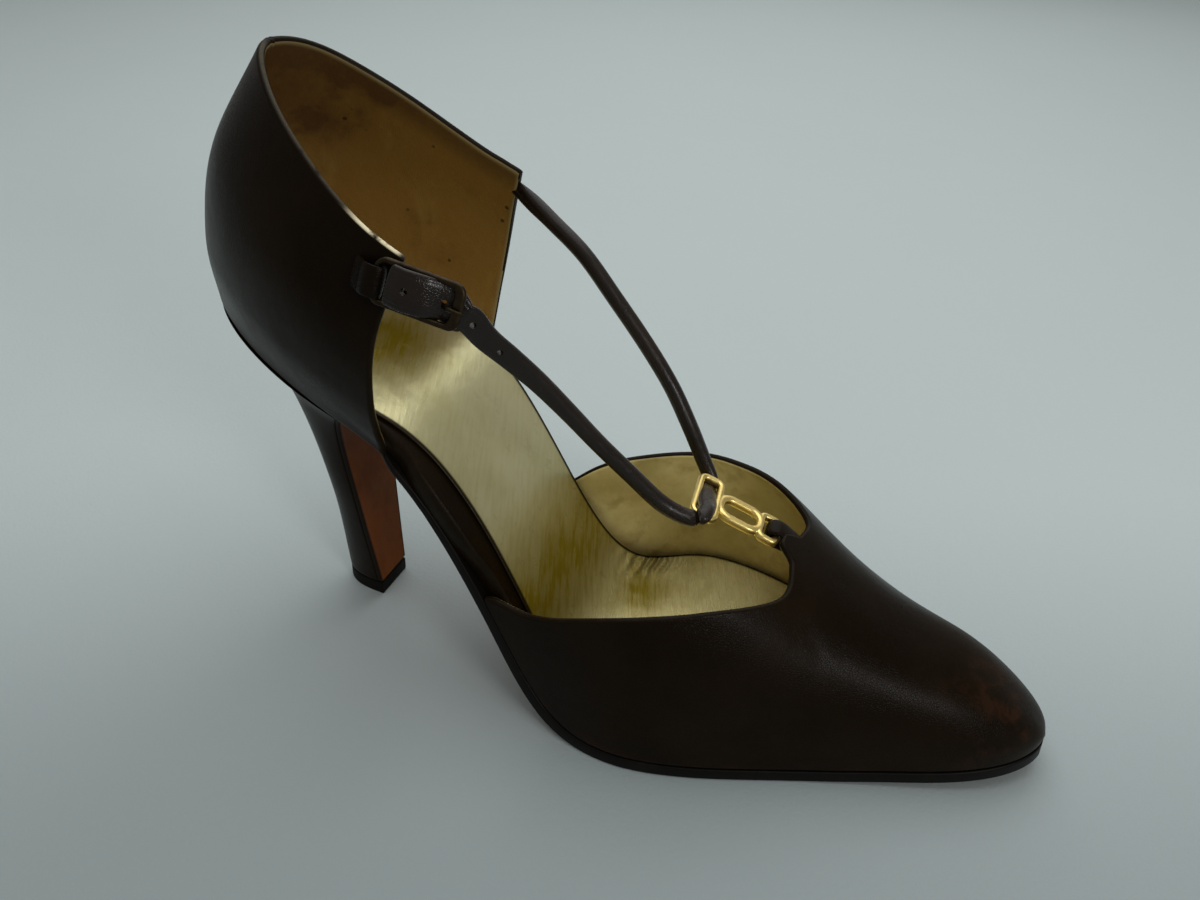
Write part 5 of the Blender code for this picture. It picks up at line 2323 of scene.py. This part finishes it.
@dataclass
class Strap:
    """Rolled leather cord from the inner quarter through the link, flat where the buckle holds it."""

    stops: tuple[Stop, ...] = (
        Stop(66.0, 28.9, 115.2, 3.6, 1.0, 2.4, 0.4, 0.1, 0.9),
        Stop(71.2, 27.9, 112.3, 4.3, 3.4, 2.2, 0.4, 0.1, 0.9),
        Stop(77.4, 26.4, 108.8, 4.1, 4.1, 2.0, 0.4, 0.1, 0.9),
        Stop(86.6, 24.2, 103.1, 4.1, 4.1, 2.0, 0.4, 0.1, 0.9),
        Stop(95.8, 22.0, 94.5, 4.1, 4.1, 2.0, 0.5, 0.1, 0.8),
        Stop(105.2, 20.0, 85.0, 4.1, 4.1, 2.0, 0.6, 0.1, 0.8),
        Stop(113.1, 18.0, 76.1, 4.1, 4.1, 2.0, 0.7, 0.1, 0.7),
        Stop(119.1, 16.4, 67.1, 4.1, 4.1, 2.0, 0.8, 0.1, 0.6),
        Stop(123.6, 15.6, 58.9, 4.0, 3.6, 2.0, 0.9, 0.1, 0.4),
        Stop(126.2, 14.4, 54.7, 4.0, 2.8, 2.0, 1.0, 0.1, 0.1),
        Stop(126.6, 12.0, 53.7, 4.6, 2.4, 2.3, 0.92, 0.12, -0.37),
        Stop(127.4, 8.2, 54.8, 5.0, 2.8, 2.4, 0.92, 0.12, -0.37),
        Stop(128.4, 4.5, 55.7, 5.0, 3.0, 2.4, 0.92, 0.12, -0.37),
        Stop(129.4, 0.8, 56.6, 5.0, 2.8, 2.4, 0.92, 0.12, -0.37),
        Stop(130.4, -3.0, 57.9, 3.9, 2.4, 2.2, 0.9, 0.2, -0.3),
        Stop(129.9, -5.6, 57.6, 4.0, 2.8, 2.2, 0.85, 0.4, 0.0),
        Stop(126.5, -6.8, 57.3, 4.1, 3.6, 2.0, 0.6, 0.4, 0.5),
        Stop(120.5, -8.2, 60.5, 4.1, 4.1, 2.0, 0.6, 0.3, 0.7),
        Stop(113.6, -10.8, 68.2, 4.1, 4.1, 2.0, 0.6, 0.2, 0.7),
        Stop(106.7, -13.8, 76.5, 4.1, 4.1, 2.0, 0.6, 0.2, 0.7),
        Stop(100.6, -17.0, 85.0, 4.3, 4.1, 2.0, 0.6, 0.2, 0.7),
        Stop(94.7, -20.4, 93.2, 4.7, 3.4, 2.3, 0.65, 0.3, 0.65),
        Stop(89.9, -24.0, 99.8, 5.3, 2.4, 2.8, 0.72, 0.32, 0.6),
        Stop(86.1, -27.4, 105.3, 5.8, 2.0, 3.2, 0.75, 0.3, 0.58),
        Stop(83.9, -29.8, 110.0, 6.4, 1.8, 3.2, 0.65, 0.3, 0.68),
        Stop(82.3, -31.2, 111.5, 7.2, 1.8, 3.2, 0.57, 0.32, 0.76),
        Stop(80.2, -31.6, 113.8, 8.0, 1.8, 2.9, 0.26, 0.34, 0.90),
        Stop(78.1, -32.6, 114.8, 8.1, 1.8, 2.9, 0.14, 0.34, 0.93),
        Stop(75.6, -34.3, 115.8, 8.5, 1.9, 2.9, 0.14, 0.34, 0.93),
        Stop(72.1, -35.3, 116.7, 8.6, 2.0, 2.9, 0.14, 0.34, 0.93),
        Stop(68.9, -35.0, 117.2, 8.5, 1.8, 2.9, 0.14, 0.34, 0.93),
    )
    steps: int = 9
    flat_from: float = 22.0
    flat_blend: float = 2.0
    link_from: tuple[float, float] = (8.0, 9.2)
    link_to: tuple[float, float] = (16.2, 15.0)
    holes: tuple[float, ...] = (22.5, 23.9, 26.4, 28.85)
    hole_radius: float = 0.75
    prong_hole: float = 26.4
    prong_hole_radius: float = 0.58
    punch_depth: float = 8.0
    punch_sides: int = 20
    seam_depth: float = 0.26
    border_depth: float = 0.14
    scuff: float = 0.15

    def press(self, station: Array, turn: Array) -> Array:
        """Grooves: the cord's seam, and the creased borders of the flat end.

        Args:
            station: numbers of stations along the strap.
            turn: places around its section, from 0 to 1.

        Returns:
            Depths in millimetres.
        """
        place = station / self.steps
        rolled = ease(place, self.flat_from, self.flat_from - self.flat_blend)
        in_link = ease(place, *self.link_from) * ease(place, *self.link_to)
        seam = self.seam_depth * hill(turn, 0.27, 0.014) * rolled * (1 - in_link)
        edge = np.abs(np.abs(((turn - 0.25) % 0.5) - 0.25) - 0.25)
        flat = ease(place, self.flat_from, self.flat_from + self.flat_blend)
        return seam + self.border_depth * hill(edge, 0.115, 0.012) * flat

    def build(self, finishes: Finishes) -> None:
        """Makes and dresses the strap.

        Args:
            finishes: the materials.
        """
        cols = curves(self.stops, (len(self.stops) - 1) * self.steps + 1)
        path = np.stack([cols[name] for name in ("x", "y", "z")], -1)
        width = unit(np.stack([cols[name] for name in ("wx", "wy", "wz")], -1))
        sweep = Sweep(path, width, cols["wide"], cols["thick"], cols["square"], 72)
        full = np.ones(len(path))
        marks = {"scuff": self.scuff * full, "edge": FAR_FROM_EDGE * full}
        made = sweep.build("strap_leather", self.press, **marks)
        along, across, out = sweep.axes()
        for hole in self.holes:
            i = int(round(hole * self.steps))
            radius = self.prong_hole_radius if hole == self.prong_hole else self.hole_radius
            sizes = {"radius": radius * MM, "depth": self.punch_depth * MM}
            add = bpy.ops.mesh.primitive_cylinder_add
            punch = Workbench.add("punch", add, vertices=self.punch_sides, **sizes)
            axes = Matrix(np.stack([along[i], across[i], out[i]], -1).tolist()).to_4x4()
            punch.matrix_world = move_to(path[i]) @ axes
            Workbench.cut(made, punch)
        Shop.finish(made, ["strap"], Slot.BROWN, finishes.glossy_calf, angle=50)


# Stage


class Lamp(NamedTuple):
    """Square soft light: its place, its size in millimetres and its power."""

    name: str
    place: Triple
    size: float
    watts: float


@dataclass
class Stage:
    """Floor of pale cloth, and soft light."""

    view: View
    reach: float = 2600.0
    drop: float = 0.05
    rows: int = 40
    sky: Colour = (1.0, 0.975, 0.94)
    sky_strength: float = 0.26
    aim: Triple = (0.0, 0.0, 0.05)
    lamps: tuple[Lamp, ...] = (
        Lamp("top_light", (60.0, 170.0, 820.0), 900.0, 3.0),
        Lamp("window_light", (727.0, -434.0, 431.0), 200.0, 1.4),
        Lamp("back_light", (-60.0, 760.0, 620.0), 900.0, 1.6),
    )

    def build(self) -> None:
        """Makes the cloth, the lamps and the sky."""
        right, ahead = self.view.level_axes()
        side = np.linspace(-self.reach, self.reach, self.rows)
        start = np.array([*self.view.place[:2], -self.drop])
        points = start + side[:, None, None] * ahead + side[None, :, None] * right
        cloth = Workbench.grid("floor", points)
        level = (float(ahead[0]), float(ahead[1]))
        cloth.data.materials.append(PaleCloth(level, float(start @ ahead)).make())
        Workbench.edit(cloth, lambda: bpy.ops.mesh.normals_make_consistent(inside=False))
        Workbench.shade(cloth, 60)
        cloth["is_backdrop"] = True
        for lamp in self.lamps:
            self.light(lamp)
        world = bpy.data.worlds.new("soft_sky")
        world.use_nodes = True
        sky = world.node_tree.nodes["Background"]
        sky.inputs["Color"].default_value = (*self.sky, 1.0)
        sky.inputs["Strength"].default_value = self.sky_strength
        bpy.context.scene.world = world
        bpy.context.scene.view_settings.view_transform = "Standard"

    def light(self, lamp: Lamp) -> None:
        """Adds a soft light that shines at the shoe.

        Args:
            lamp: its name, place, size and power.
        """
        made = Workbench.add(lamp.name, bpy.ops.object.light_add, type="AREA")
        made.data.size = lamp.size * MM
        made.data.energy = lamp.watts
        move = move_to(lamp.place)
        aim = (Vector(self.aim) - move.to_translation()).to_track_quat("-Z", "Y")
        made.matrix_world = move @ aim.to_matrix().to_4x4()


@dataclass
class View:
    """Camera at the photograph's place, angle and field of view."""

    round_deg: float = 20.20
    above_deg: float = 34.70
    roll_deg: float = 2.54
    focal_px: float = 1043.48
    half_px: float = 600.0
    place: Triple = (173.63, -195.34, 209.04)
    clip: float = 0.01

    def level_axes(self) -> tuple[Array, Array]:
        """Level directions to the right of the camera and ahead of it."""
        a = math.radians(self.round_deg)
        return np.array([math.cos(a), math.sin(a), 0]), np.array([-math.sin(a), math.cos(a), 0])

    def build(self) -> None:
        """Makes the camera."""
        right, ahead = self.level_axes()
        above, roll = math.radians(self.above_deg), math.radians(self.roll_deg)
        look = ahead * math.cos(above) - np.array([0, 0, math.sin(above)])
        up = np.cross(right, look)
        c, s = math.cos(roll), math.sin(roll)
        rows = [c * right + s * up, c * up - s * right, -look]
        camera = Workbench.add("camera", bpy.ops.object.camera_add)
        camera.data.sensor_fit = "HORIZONTAL"
        camera.data.angle = 2 * math.atan(self.half_px / self.focal_px)
        camera.data.clip_start = self.clip
        turn = Matrix([list(row) for row in rows]).transposed().to_4x4()
        camera.matrix_world = move_to(self.place) @ turn
        bpy.context.scene.camera = camera


def corners(box: Sequence[Sequence[float]]) -> list[list[float]]:
    """A box as plain lists of numbers."""
    return [[float(c) for c in corner] for corner in box]


def main() -> None:
    """Loads the frame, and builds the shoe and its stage."""
    logging.basicConfig(level=logging.INFO, format="%(message)s")
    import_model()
    packed = corners(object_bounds())
    view = View()
    view.build()
    Stage(view).build()
    finishes, last = Finishes(), Last()
    lasted = [kind(last) for kind in (Vamp, Quarter, Footbed, Outsole, Heel)]
    for part in (*lasted, Link(), Buckle(), Strap()):
        part.build(finishes)
    {"packed": packed, "dressed": corners(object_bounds())}


if __name__ == "__main__":
    main()
